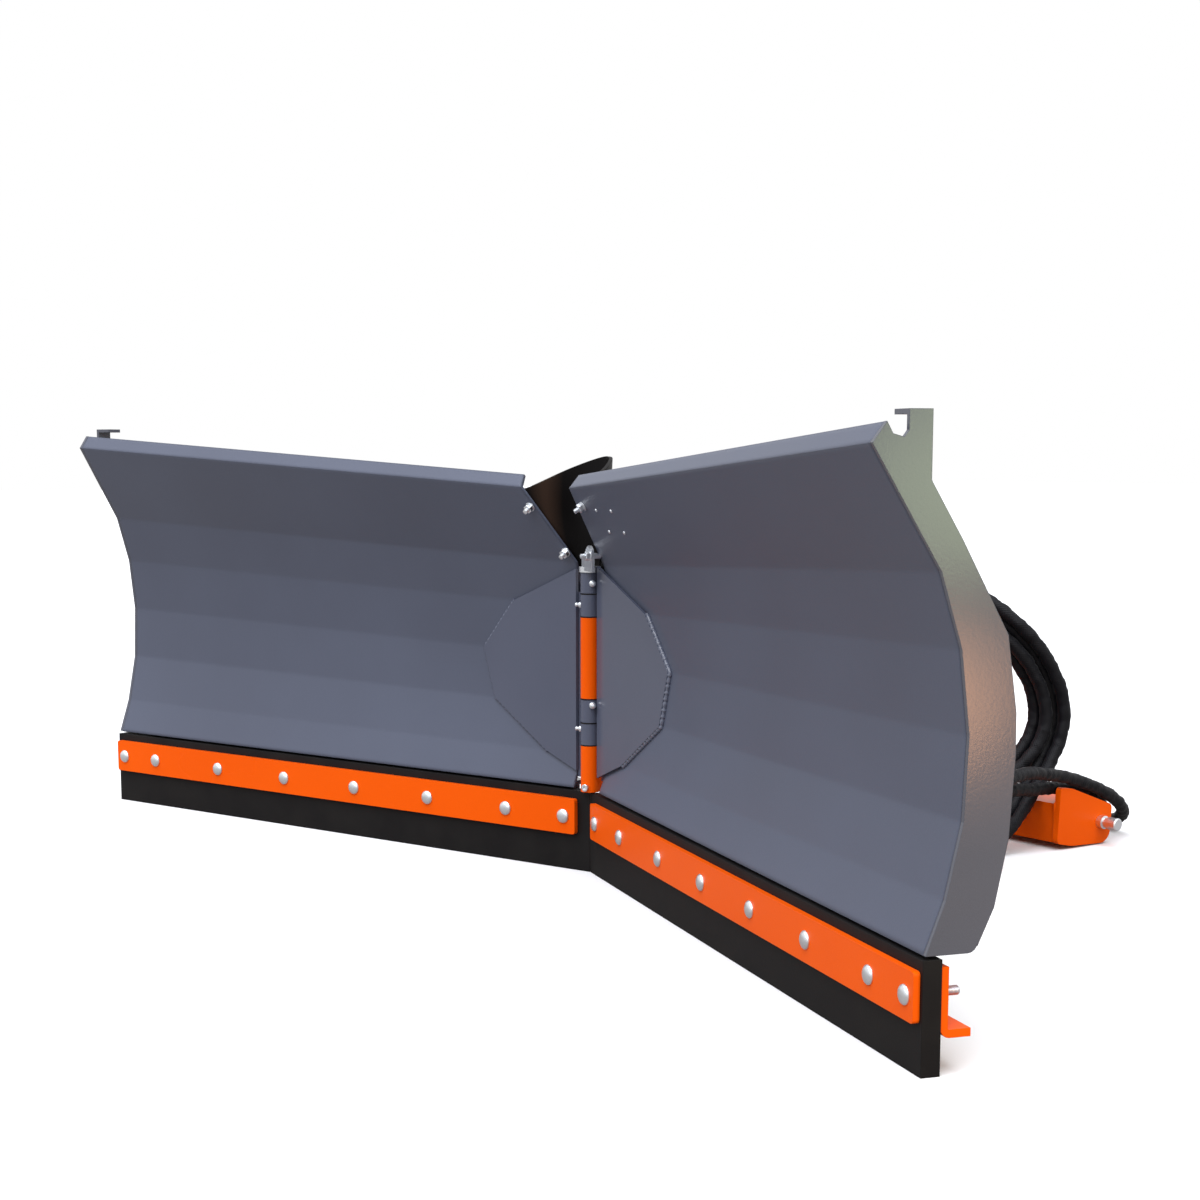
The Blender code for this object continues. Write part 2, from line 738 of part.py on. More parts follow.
def hitch_pin():
    """A turned lower hitch pin: spigot in the lug, collar, neck and head."""
    radius, length = HITCH_PIN
    spigot = radius * 0.7 - GAP
    profile = [
        (0, length),
        (radius * 0.85, length),
        (radius, length - radius * 0.15),
        (radius, length * 0.50),
        (radius * 0.80, length * 0.46),
        (radius * 0.80, length * 0.30),
        (radius * 1.05, length * 0.27),
        (radius * 1.05, GAP),
        (spigot, GAP),
        (spigot, -LUG),
        (0, -LUG),
    ]
    start = HEADSTOCK_HALF + GAP + LUG
    centre = (start, HEADSTOCK_FRONT + HITCH_PIN_SETBACK, HITCH_PIN_HEIGHT)
    return turned(profile, Matrix.Translation(centre) @ Matrix.Rotation(math.pi / 2, 4, "Y"))


def tip_at_rest():
    """The right cylinder's pivot on the wing, in the frame's axes."""
    along, back = CYLINDER_TIP
    x = along * math.cos(WING_FORWARD) + back * math.sin(WING_FORWARD)
    y = -along * math.sin(WING_FORWARD) + back * math.cos(WING_FORWARD)
    return Vector((x, y, 0))


CYLINDER_RUN = tip_at_rest() - Vector((*CYLINDER_BASE, 0))
CYLINDER_LENGTH = CYLINDER_RUN.length
CYLINDER_TURN = math.atan2(CYLINDER_RUN.y, CYLINDER_RUN.x)


def barrel(sign):
    """Eye, tube with its chamber and gland bore, and two ports with elbows, along +X from the base pivot."""
    half = BASE_EYE_HEIGHT / 2
    eye = rod((0, 0, -half), (0, 0, half), EYE_RADIUS)
    tube = rod((EYE_RADIUS * 0.7, 0, 0), (BARREL_END, 0, 0), BARREL_RADIUS)
    fittings = []
    for along, turn in zip(PORTS, ELBOW_TURNS):
        root = Vector((along, 0, BARREL_RADIUS * 0.9))
        boss_top = Vector((along, 0, BARREL_RADIUS + PORT_RISE))
        bend = Vector((along, 0, ELBOW_HEIGHT))
        end = bend + elbow_heading(sign * turn) * ELBOW_REACH
        fittings.append(rod(root, boss_top, PORT_RADIUS, SMALL_ROUND))
        fittings.append(rod(root, bend + Vector((0, 0, ELBOW_RADIUS)), ELBOW_RADIUS + GAP, SMALL_ROUND))
        fittings.append(rod(bend, end, ELBOW_RADIUS, SMALL_ROUND))
    hole = rod((0, 0, -2 * half), (0, 0, 2 * half), PIVOT_RADIUS + GAP, SMALL_ROUND)
    gland = BARREL_END - 2 * EYE_RADIUS
    chamber = rod((EYE_RADIUS + PORT_RADIUS, 0, 0), (gland, 0, 0), CHAMBER_RADIUS)
    bore = rod((gland - EYE_RADIUS, 0, 0), (BARREL_END + EYE_RADIUS, 0, 0), ROD_RADIUS + RUNNING_GAP)
    return cut(joined(eye, tube, *fittings), hole, joined(chamber, bore))


def piston_rod():
    """Piston, rod and eye, along +X from the base pivot at rest."""
    half = ROD_EYE_HEIGHT / 2
    gland = BARREL_END - 2 * EYE_RADIUS
    face = gland - RUNNING_GAP
    piston = rod((face - PISTON, 0, 0), (face, 0, 0), CHAMBER_RADIUS - RUNNING_GAP)
    shaft = rod((gland - PISTON, 0, 0), (CYLINDER_LENGTH - EYE_RADIUS * 0.7, 0, 0), ROD_RADIUS)
    eye = rod((CYLINDER_LENGTH, 0, -half), (CYLINDER_LENGTH, 0, half), EYE_RADIUS)
    ends = [(CYLINDER_LENGTH, 0, height) for height in (-2 * half, 2 * half)]
    hole = rod(*ends, PIVOT_RADIUS + GAP, SMALL_ROUND)
    return cut(joined(shaft, piston, eye), hole)


def pivot_pin(grip):
    """A pin with a flat head at each end, for this much between the heads."""
    half = grip / 2 + RUNNING_GAP
    head = PIVOT_RADIUS * 2.0
    rim = PIVOT_RADIUS * 0.6
    profile = [
        (0, half + rim),
        (head - rim / 3, half + rim),
        (head, half + rim * 0.6),
        (head, half),
        (PIVOT_RADIUS, half),
        (PIVOT_RADIUS, -half),
        (head, -half),
        (head, -half - rim * 0.6),
        (head - rim / 3, -half - rim),
        (0, -half - rim),
    ]
    return turned(profile, Matrix.Identity(4))


def smooth_path(points, step):
    """Points about a step apart on a smooth curve through the given ones."""
    points = [Vector(point) for point in points]
    padded = [2 * points[0] - points[1]] + points + [2 * points[-1] - points[-2]]
    found = [points[0]]
    for a, b, c, d in zip(padded, padded[1:], padded[2:], padded[3:]):
        count = max(1, round((c - b).length / step))
        for i in range(1, count + 1):
            t = i / count
            tangent_in, tangent_out = (c - a) / 2, (d - b) / 2
            h = ((2 * t - 3) * t * t + 1, ((t - 2) * t + 1) * t, (3 - 2 * t) * t * t, (t - 1) * t * t)
            found.append(h[0] * b + h[1] * tangent_in + h[2] * c + h[3] * tangent_out)
    return found


def hose_curve(points):
    curve = bpy.data.curves.new("hose", "CURVE")
    curve.dimensions = "3D"
    curve.bevel_depth = HOSE_RADIUS
    curve.bevel_resolution = 2
    curve.use_fill_caps = True
    spline = curve.splines.new("POLY")
    spline.points.add(len(points) - 1)
    for knot, point in zip(spline.points, points):
        knot.co = (*point, 1)
    return curve


def elbow_heading(turn):
    flat = math.cos(ELBOW_RISE)
    return Vector((flat * math.cos(turn), flat * math.sin(turn), math.sin(ELBOW_RISE)))


HOSE_PORTS = {  # side and port of each hose, in the order they lie in the guide
    "left_tip_hose": (-1, 1),
    "right_tip_hose": (1, 1),
    "left_base_hose": (-1, 0),
    "right_base_hose": (1, 0),
}
HOSE_ROUTES = {  # from the elbow to the coupler
    "left_tip_hose": (
        (-0.1134, 0.3095, 0.3313), (-0.0981, 0.3339, 0.3393), (-0.0806, 0.3620, 0.3504),
        (-0.0634, 0.3896, 0.3632), (-0.0463, 0.4170, 0.3769), (-0.0293, 0.4449, 0.3896),
        (-0.0124, 0.4739, 0.3987), (0.0049, 0.5040, 0.4024), (0.0239, 0.5331, 0.4016),
        (0.0483, 0.5577, 0.4006), (0.0775, 0.5765, 0.3978), (0.1080, 0.5910, 0.3892),
        (0.1382, 0.6019, 0.3748), (0.1662, 0.6132, 0.3566), (0.1894, 0.6284, 0.3355),
        (0.2050, 0.6480, 0.3116), (0.2141, 0.6686, 0.2848), (0.2199, 0.6863, 0.2552),
        (0.2235, 0.6997, 0.2229), (0.2244, 0.7057, 0.1888), (0.2227, 0.6999, 0.1549),
        (0.2216, 0.6831, 0.1244), (0.2239, 0.6599, 0.0984), (0.2295, 0.6338, 0.0757),
        (0.2357, 0.6067, 0.0545), (0.2402, 0.5781, 0.0347), (0.2420, 0.5468, 0.0196),
        (0.2415, 0.5129, 0.0117), (0.2405, 0.4880, 0.0105), (0.2395, 0.4680, 0.0105),
    ),
    "right_tip_hose": (
        (0.1127, 0.3093, 0.3299), (0.0962, 0.3334, 0.3363), (0.0770, 0.3609, 0.3458),
        (0.0575, 0.3879, 0.3570), (0.0377, 0.4151, 0.3676), (0.0196, 0.4441, 0.3755),
        (0.0087, 0.4758, 0.3796), (0.0106, 0.5084, 0.3804), (0.0264, 0.5375, 0.3799),
        (0.0522, 0.5607, 0.3795), (0.0802, 0.5814, 0.3760), (0.1088, 0.5988, 0.3667),
        (0.1375, 0.6128, 0.3524), (0.1633, 0.6273, 0.3340), (0.1818, 0.6457, 0.3117),
        (0.1919, 0.6666, 0.2857), (0.1979, 0.6851, 0.2565), (0.2019, 0.6987, 0.2244),
        (0.2030, 0.7046, 0.1903), (0.2014, 0.6987, 0.1564), (0.2006, 0.6821, 0.1258),
        (0.2028, 0.6591, 0.0996), (0.2082, 0.6331, 0.0767), (0.2145, 0.6062, 0.0551),
        (0.2192, 0.5779, 0.0351), (0.2210, 0.5467, 0.0198), (0.2205, 0.5129, 0.0117),
        (0.2195, 0.4880, 0.0105), (0.2185, 0.4680, 0.0105),
    ),
    "left_base_hose": (
        (-0.0400, 0.4410, 0.3309), (-0.0200, 0.4595, 0.3389), (-0.0026, 0.4877, 0.3487),
        (0.0133, 0.5182, 0.3559), (0.0345, 0.5446, 0.3587), (0.0630, 0.5637, 0.3585),
        (0.0933, 0.5794, 0.3544), (0.1239, 0.5922, 0.3443), (0.1531, 0.6044, 0.3292),
        (0.1774, 0.6200, 0.3100), (0.1928, 0.6400, 0.2864), (0.2009, 0.6598, 0.2587),
        (0.2057, 0.6754, 0.2276), (0.2082, 0.6831, 0.1939), (0.2073, 0.6776, 0.1606),
        (0.2028, 0.6589, 0.1320), (0.1951, 0.6330, 0.1097), (0.1855, 0.6046, 0.0917),
        (0.1754, 0.5753, 0.0753), (0.1659, 0.5455, 0.0597), (0.1575, 0.5148, 0.0451),
        (0.1514, 0.4828, 0.0321), (0.1492, 0.4493, 0.0216), (0.1531, 0.4152, 0.0146),
        (0.1656, 0.3842, 0.0112), (0.1877, 0.3614, 0.0103), (0.2163, 0.3498, 0.0107),
        (0.2466, 0.3505, 0.0134), (0.2738, 0.3625, 0.0203), (0.2934, 0.3832, 0.0327),
        (0.3026, 0.4089, 0.0511), (0.3024, 0.4367, 0.0723), (0.2967, 0.4663, 0.0906),
        (0.2883, 0.4981, 0.1021), (0.2786, 0.5313, 0.1060), (0.2684, 0.5647, 0.1045),
        (0.2589, 0.5982, 0.1023), (0.2519, 0.6320, 0.1031), (0.2480, 0.6664, 0.0958),
        (0.2468, 0.7011, 0.0861), (0.2462, 0.7354, 0.0774), (0.2426, 0.7659, 0.0617),
        (0.2298, 0.7899, 0.0427), (0.2069, 0.8048, 0.0255), (0.1765, 0.8092, 0.0141),
        (0.1426, 0.8042, 0.0105), (0.1233, 0.7993, 0.0105), (0.1040, 0.7940, 0.0105),
    ),
    "right_base_hose": (
        (0.0407, 0.4418, 0.3287), (0.0242, 0.4617, 0.3319), (0.0170, 0.4912, 0.3347),
        (0.0230, 0.5218, 0.3368), (0.0418, 0.5480, 0.3380), (0.0681, 0.5696, 0.3373),
        (0.0962, 0.5888, 0.3327), (0.1255, 0.6045, 0.3223), (0.1523, 0.6199, 0.3066),
        (0.1704, 0.6392, 0.2851), (0.1793, 0.6594, 0.2580), (0.1842, 0.6751, 0.2268),
        (0.1867, 0.6818, 0.1931), (0.1855, 0.6749, 0.1602), (0.1804, 0.6554, 0.1323),
        (0.1720, 0.6292, 0.1104), (0.1619, 0.6007, 0.0925), (0.1518, 0.5714, 0.0762),
        (0.1422, 0.5414, 0.0607), (0.1341, 0.5106, 0.0460), (0.1282, 0.4786, 0.0329),
        (0.1259, 0.4453, 0.0226), (0.1289, 0.4112, 0.0155), (0.1387, 0.3779, 0.0118),
        (0.1566, 0.3480, 0.0106), (0.1824, 0.3248, 0.0105), (0.2143, 0.3108, 0.0105),
        (0.2488, 0.3083, 0.0105), (0.2817, 0.3183, 0.0123), (0.3082, 0.3386, 0.0194),
        (0.3251, 0.3645, 0.0340), (0.3320, 0.3916, 0.0546), (0.3309, 0.4183, 0.0775),
        (0.3252, 0.4457, 0.0989), (0.3168, 0.4752, 0.1158), (0.3071, 0.5070, 0.1263),
        (0.2973, 0.5403, 0.1299), (0.2877, 0.5739, 0.1278), (0.2785, 0.6073, 0.1224),
        (0.2713, 0.6407, 0.1148), (0.2683, 0.6742, 0.1054), (0.2679, 0.7074, 0.0942),
        (0.2678, 0.7401, 0.0814), (0.2658, 0.7717, 0.0662), (0.2584, 0.8007, 0.0484),
        (0.2405, 0.8234, 0.0314), (0.2131, 0.8361, 0.0183), (0.1800, 0.8371, 0.0114),
        (0.1412, 0.8276, 0.0105), (0.1220, 0.8220, 0.0105),
    ),
}


def hose_route(name):
    """From the end of its elbow, up through the guide, down in its own arc and away to the coupler."""
    side, index = HOSE_PORTS[name]
    base = Vector((*CYLINDER_BASE, BEAM_HEIGHT + ELBOW_HEIGHT))
    barrel_heading = Vector((math.cos(CYLINDER_TURN), math.sin(CYLINDER_TURN), 0))
    heading = elbow_heading(CYLINDER_TURN + ELBOW_TURNS[index])
    start = base + barrel_heading * PORTS[index] + heading * (ELBOW_REACH + GAP)
    lift = start + heading * 1.5 * HOSE_RADIUS
    for point in (start, lift):
        point.x *= side
    return smooth_path([start, lift, *HOSE_ROUTES[name]], HOSE_STEP)


def hose_guide():
    """A tall round-bar loop that holds the four hoses, on a stem from the main beam."""
    x, y, top = GUIDE_PLACE
    low = top - (len(HOSE_PORTS) - 1) * HOSE_SPACING
    radius = HOSE_RADIUS + GUIDE_CLEARANCE + GUIDE_WIRE
    loop = arc((0, top), radius, 0, 180, 10) + arc((0, low), radius, 180, 360, 10)
    across = Vector((math.cos(GUIDE_TURN), -math.sin(GUIDE_TURN), 0))
    curve = hose_curve([Vector((x, y, 0)) + across * a + Vector((0, 0, b)) for a, b in loop])
    curve.bevel_depth = GUIDE_WIRE
    curve.splines[0].use_cyclic_u = True
    curve.use_fill_caps = False
    ring = welded(evaluated(curve))
    base = BEAM_HEIGHT + BEAM_SIDE / 2 + GAP
    stem = rod((x, y, base), (x, y, low - radius), GUIDE_WIRE, 12)
    return joined(ring, stem)


def coupler(route):
    """A quick coupler past the hose's end: ferrule, hexagon, body and nose."""
    end = route[-1]
    along = end - route[-2]
    along.z = 0
    along.normalize()
    place = Matrix.Translation(end + along * GAP)
    place = place @ Vector((0, 0, 1)).rotation_difference(along).to_matrix().to_4x4()
    length = COUPLER_LENGTH
    wide = HOSE_RADIUS
    profile = [
        (0, length),
        (wide * 0.60, length),
        (wide * 0.75, length * 0.94),
        (wide * 0.75, length * 0.72),
        (wide * 1.00, length * 0.70),
        (wide * 1.00, length * 0.52),
        (wide * 0.80, length * 0.48),
        (wide * 1.00, length * 0.38),
        (wide * 1.00, 0),
        (0, 0),
    ]
    return turned(profile, place, 12)


def centre_flap():
    """A sheet from behind one mouldboard, round the back of the hinge, to behind the other."""
    rows, columns = 6, 18
    clear = FLAP / 2 + 2 * SWING_GAP
    points = []
    for i in range(rows + 1):
        up = i / rows
        height = FLAP_BASE + (FLAP_TOP - FLAP_BASE) * up
        edge = INNER_EDGE + CORNER_CUT[0] * up
        held = []
        for along in (edge + FLAP_GRIP, edge + FLAP_GRIP / 2, edge):
            wall = behind(folds(along), SHEET + clear)
            held.append(on_wing(along, setback_at(wall, height), height))
        bulge = FLAP_BULGE[0] + (FLAP_BULGE[1] - FLAP_BULGE[0]) * up
        crest = height + (FLAP_CREST - FLAP_TOP) * up
        middle = Vector((0, bulge, crest))
        last = held[-1]
        shoulder = Vector((last.x * 0.62, (last.y + 2 * bulge) / 3, (height + 2 * crest) / 3))
        half = held + [shoulder, middle]
        full = half + [Vector((-p.x, p.y, p.z)) for p in reversed(half[:-1])]
        points += even_path(full, columns)
    faces = []
    for i in range(rows):
        for j in range(columns):
            first = i * (columns + 1) + j
            faces.append((first, first + 1, first + columns + 2, first + columns + 1))
    sheet = bpy.data.meshes.new("flap")
    sheet.from_pydata(points, [], faces)
    solid = {"thickness": FLAP, "offset": 0.0, "use_even_offset": True}
    return welded(evaluated(sheet, [("SOLIDIFY", solid)]))


def on_wing(along, setback, height):
    """A point of the right wing at rest, in the frame's axes."""
    x = along * math.cos(WING_FORWARD) + setback * math.sin(WING_FORWARD)
    y = -along * math.sin(WING_FORWARD) + setback * math.cos(WING_FORWARD)
    return Vector((x, y, height))


def even_path(points, count):
    """Evenly spaced points on a smooth curve through the given ones."""
    fine = smooth_path(points, HOSE_RADIUS / 5)
    reach = [0.0]
    for a, b in zip(fine, fine[1:]):
        reach.append(reach[-1] + (b - a).length)
    found = []
    k = 0
    for i in range(count + 1):
        wanted = reach[-1] * i / count
        while k < len(fine) - 2 and reach[k + 1] < wanted:
            k += 1
        share = (wanted - reach[k]) / max(reach[k + 1] - reach[k], 1e-9)
        found.append(fine[k].lerp(fine[k + 1], share))
    return found


def centre_shift():
    """Where the hinge pin stands behind the middle of the part's depth."""
    lip = folds(WING_LENGTH)[6]
    front = on_wing(WING_LENGTH, lip[0], 0).y
    back = HEADSTOCK_FRONT + LUG_OUTLINE[2][0]
    return -(front + back) / 2


def mirrored(mesh):
    mesh.transform(Matrix.Scale(-1, 4, (1, 0, 0)))
    mesh.flip_normals()
    return mesh


def add_wing(side, centre):
    """All pieces of one wing, under an empty on the hinge pin's axis."""
    sign = 1 if side == "right" else -1
    pivot = empty(f"{side}_wing_axis", centre, -sign * WING_FORWARD)
    pieces = [
        ("mouldboard", mouldboard(), PAINT_GREY),
        ("deflector", deflector(side), PAINT_GREY),
        ("cheek", cheek(), PAINT_GREY),
        ("hinge_bar", wing_hinge(side), PAINT_GREY),
        ("rubber_edge", rubber_edge(), RUBBER_BLACK),
        ("clamp_strip", clamp_strip(), PAINT_ORANGE),
        ("edge_angle", edge_angle(), PAINT_ORANGE),
        ("edge_carrier", edge_carrier(), PAINT_GREY),
        ("bottom_rail", bottom_rail(), PAINT_GREY),
        ("inner_rib", rib(BRACKET_RIBS[0]), PAINT_GREY),
        ("middle_rib", rib(BRACKET_RIBS[1]), PAINT_GREY),
        ("outer_rib", rib(OUTER_RIB), PAINT_GREY),
        ("cylinder_bracket", cylinder_bracket(), PAINT_GREY),
    ]
    for name, mesh, finish in pieces:
        add_object(f"{side}_{name}", mesh if sign > 0 else mirrored(mesh), finish, pivot)
    if sign > 0:
        add_object("hinge_pin", hinge_pin(), ZINC, pivot)


def add_cylinder(side, centre):
    """One swing cylinder, its rod and its pivot pins, under an empty on the base pivot."""
    sign = 1 if side == "right" else -1
    turn = CYLINDER_TURN if sign > 0 else math.pi - CYLINDER_TURN
    place = Vector(centre) + Vector((sign * CYLINDER_BASE[0], CYLINDER_BASE[1], BEAM_HEIGHT))
    pivot = empty(f"{side}_cylinder_axis", place, turn)
    add_object(f"{side}_barrel", barrel(sign), PAINT_ORANGE, pivot)
    add_object(f"{side}_piston_rod", piston_rod(), CHROME, pivot)
    plates = BEAM_SIDE + 2 * (GAP + PLATE)
    add_object(f"{side}_base_pin", pivot_pin(plates), ZINC, pivot)
    tip = pivot_pin(ROD_EYE_HEIGHT + 2 * (RUNNING_GAP + EAR))
    tip.transform(Matrix.Translation((CYLINDER_LENGTH, 0, 0)))
    add_object(f"{side}_tip_pin", tip, ZINC, pivot)


def add_frame(centre):
    """Everything that stays with the tractor's linkage."""
    root = empty("frame_axis", centre)
    pieces = [
        ("hinge_post", hinge_post(), PAINT_ORANGE),
        ("main_beam", main_beam(), PAINT_ORANGE),
        ("upper_cylinder_plate", cylinder_plate(True), PAINT_ORANGE),
        ("lower_cylinder_plate", cylinder_plate(False), PAINT_ORANGE),
        ("headstock_beam", headstock_beam(), PAINT_ORANGE),
        ("mast", mast(), PAINT_ORANGE),
        ("right_brace", brace(), PAINT_ORANGE),
        ("left_brace", mirrored(brace()), PAINT_ORANGE),
        ("top_clevis", top_clevis(), PAINT_ORANGE),
        ("right_hitch_lug", hitch_lug(), PAINT_ORANGE),
        ("left_hitch_lug", mirrored(hitch_lug()), PAINT_ORANGE),
        ("right_hitch_pin", hitch_pin(), ZINC),
        ("left_hitch_pin", mirrored(hitch_pin()), ZINC),
        ("hose_guide", hose_guide(), PAINT_ORANGE),
        ("centre_flap", centre_flap(), RUBBER_BLACK),
    ]
    for name, mesh, finish in pieces:
        add_object(name, mesh, finish, root)
    for name in HOSE_PORTS:
        route = hose_route(name)
        add_object(name, hose_curve(route), RUBBER_BLACK, root)
        add_object(name.replace("hose", "coupler"), coupler(route), ZINC, root)
        length = sum((b - a).length for a, b in zip(route, route[1:]))
        print(name, "length", round(length, 3))


def shade_round_pieces():
    for made in PARTS.objects:
        if made.type == "MESH":
            made.data.shade_smooth()
            made.data.set_sharp_from_angle(angle=math.radians(35))


def main():
    centre = (0, centre_shift(), 0)
    print("hinge pin stands at y", round(centre[1], 5))
    print("cylinder at rest", round(CYLINDER_LENGTH, 5), "turned", round(math.degrees(CYLINDER_TURN), 4))
    add_frame(centre)
    for side in ("left", "right"):
        add_wing(side, centre)
        add_cylinder(side, centre)
    shade_round_pieces()


main()
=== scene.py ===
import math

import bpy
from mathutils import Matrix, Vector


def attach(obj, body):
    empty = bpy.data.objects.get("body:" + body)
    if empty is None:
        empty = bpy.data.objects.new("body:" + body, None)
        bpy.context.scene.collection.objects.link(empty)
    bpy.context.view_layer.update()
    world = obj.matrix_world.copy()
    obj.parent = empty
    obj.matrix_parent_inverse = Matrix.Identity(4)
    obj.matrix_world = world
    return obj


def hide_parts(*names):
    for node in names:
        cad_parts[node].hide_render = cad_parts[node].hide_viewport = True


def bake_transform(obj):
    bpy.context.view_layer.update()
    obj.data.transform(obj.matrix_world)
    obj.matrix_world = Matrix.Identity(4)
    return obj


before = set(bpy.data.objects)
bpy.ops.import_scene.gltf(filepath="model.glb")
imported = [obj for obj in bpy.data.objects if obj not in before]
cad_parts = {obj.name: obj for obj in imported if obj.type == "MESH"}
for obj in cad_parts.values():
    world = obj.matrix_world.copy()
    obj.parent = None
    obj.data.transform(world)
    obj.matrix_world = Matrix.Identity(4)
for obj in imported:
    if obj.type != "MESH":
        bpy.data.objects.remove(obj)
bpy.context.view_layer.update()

# %% [markdown]
# # A hydraulic V snow plough
#
# Two folded steel wings hang on one upright pin and open into a shallow scoop. Each wing has a strip of
# rubber bolted along its foot. Behind them stands a small headstock with two cylinders and four hoses.
# The solids come from the frame, which the line above loads. This lesson dresses them: it adds the
# camera, the hoses, the light, the paint, and the nuts, bolts and welds that are too small for the solids.

# %% [markdown]
# ## The camera
#
# The picture was taken from the right, a little above the top of the wings, with a longish lens: the far
# wing is hardly smaller than the near one. A lens shift keeps the plough low in the frame without tilting
# the camera, so upright edges stay upright.

# %% Camera
camera_data = bpy.data.cameras.new("camera")
camera_data.lens = 61.14
camera_data.sensor_width = 36.0
camera_data.shift_y = 0.12
camera_data.clip_end = 50.0
camera = bpy.data.objects.new("camera", camera_data)
camera.location = (2.2789, -1.80602, 0.5752)
camera.rotation_euler = (math.radians(81.92), 0, math.radians(54.62))
bpy.context.scene.collection.objects.link(camera)
bpy.context.scene.camera = camera
print("camera stands at", tuple(camera.location))

# %% [markdown]
# ## Where things are on a wing
#
# Most small pieces sit on a wing, so it pays to think in the wing's own directions: along it from the pin,
# back from its front face, and up. One function turns those three numbers into a place, for either side.
# The folded sheet leans differently at every fold, and a second function follows it.

# %% Places on a wing
PIN = Vector((0, -0.20442, 0))
FORWARD = math.radians(17.2)
SHEET = 0.004
# the flats of the sheet from its foot up: how long each is at the wing's tip, and how far it leans forward
FOLDS = ((0.0546, -20.9), (0.0748, -12.7), (0.0801, -2.5), (0.0806, 6.8), (0.0745, 17.6), (0.1352, 31.7))
FOOT = (0.0025, 0.1158)
SIZE_AT_PIN = 0.875


def on_wing(side, along, back, height):
    x = along * math.cos(FORWARD) + back * math.sin(FORWARD)
    y = -along * math.sin(FORWARD) + back * math.cos(FORWARD)
    return PIN + Vector((side * x, y, height))


def facing(side, along, back, height, tilt):
    turn = Matrix.Rotation(-side * FORWARD, 4, "Z") @ Matrix.Rotation(math.radians(tilt), 4, "X")
    return Matrix.Translation(on_wing(side, along, back, height)) @ turn


def facing_front(side, along, back, height, lean=0.0):
    """A placing whose Z axis points out of the wing's front, for a face that leans forward this far."""
    return facing(side, along, back, height, 90 + lean)


def facing_back(side, along, back, height, lean=0.0):
    """The same for the wing's back."""
    return facing(side, along, back, height, lean - 90)


def pointing(place, heading):
    """A placing in the hinge's axes whose Z axis points along the heading."""
    turn = Vector(heading).to_track_quat("Z", "Y").to_matrix().to_4x4()
    return Matrix.Translation(PIN + Vector(place)) @ turn


def profile(size):
    """The corners of the sheet's front from its foot up, as (back, height), where it is this large."""
    back, height = FOOT
    corners = [(back, height)]
    for length, lean in FOLDS:
        back -= length * size * math.sin(math.radians(lean))
        height += length * size * math.cos(math.radians(lean))
        corners.append((back, height))
    return corners


def sheet_back(along, height):
    """How far back the front of the folded sheet is here, and how far it leans forward."""
    corners = profile(SIZE_AT_PIN + (1 - SIZE_AT_PIN) * along)
    for (_, lean), (y0, z0), (y1, z1) in zip(FOLDS, corners, corners[1:]):
        if height <= z1:
            break
    return y0 + (y1 - y0) * (height - z0) / (z1 - z0), lean


print("sheet at mid height is", round(sheet_back(0.5, 0.35)[0] * 1000, 1), "mm back")

# %% [markdown]
# ## Colours and nodes
#
# Colours are picked as sRGB hex, the way a paint card is read, and Blender's sockets want linear values, so
# one function converts them. One more function adds a shader node with its settings and its links, which
# keeps every finish below short.

# %% Colour and node helpers
def linear(hex_colour):
    """An sRGB hex colour as linear red, green and blue, with alpha."""
    found = []
    for i in (0, 2, 4):
        value = int(hex_colour[i:i + 2], 16) / 255
        found.append(value / 12.92 if value <= 0.04045 else ((value + 0.055) / 1.055) ** 2.4)
    return (*found, 1.0)


def add_node(tree, kind, inputs=None, **settings):
    """A shader node with its settings. An input is a value, or a socket that is linked to it."""
    made = tree.nodes.new("ShaderNode" + kind)
    for name, value in settings.items():
        setattr(made, name, value)
    for name, value in (inputs or {}).items():
        if isinstance(value, bpy.types.NodeSocket):
            tree.links.new(value, made.inputs[name])
        else:
            made.inputs[name].default_value = value
    return made


def new_finish(name, metallic, roughness):
    made = bpy.data.materials.new(name)
    made.use_nodes = True
    shader = made.node_tree.nodes["Principled BSDF"]
    shader.inputs["Metallic"].default_value = metallic
    shader.inputs["Roughness"].default_value = roughness
    return made, made.node_tree, shader


print("orange paint in linear light:", linear("FF6204"))
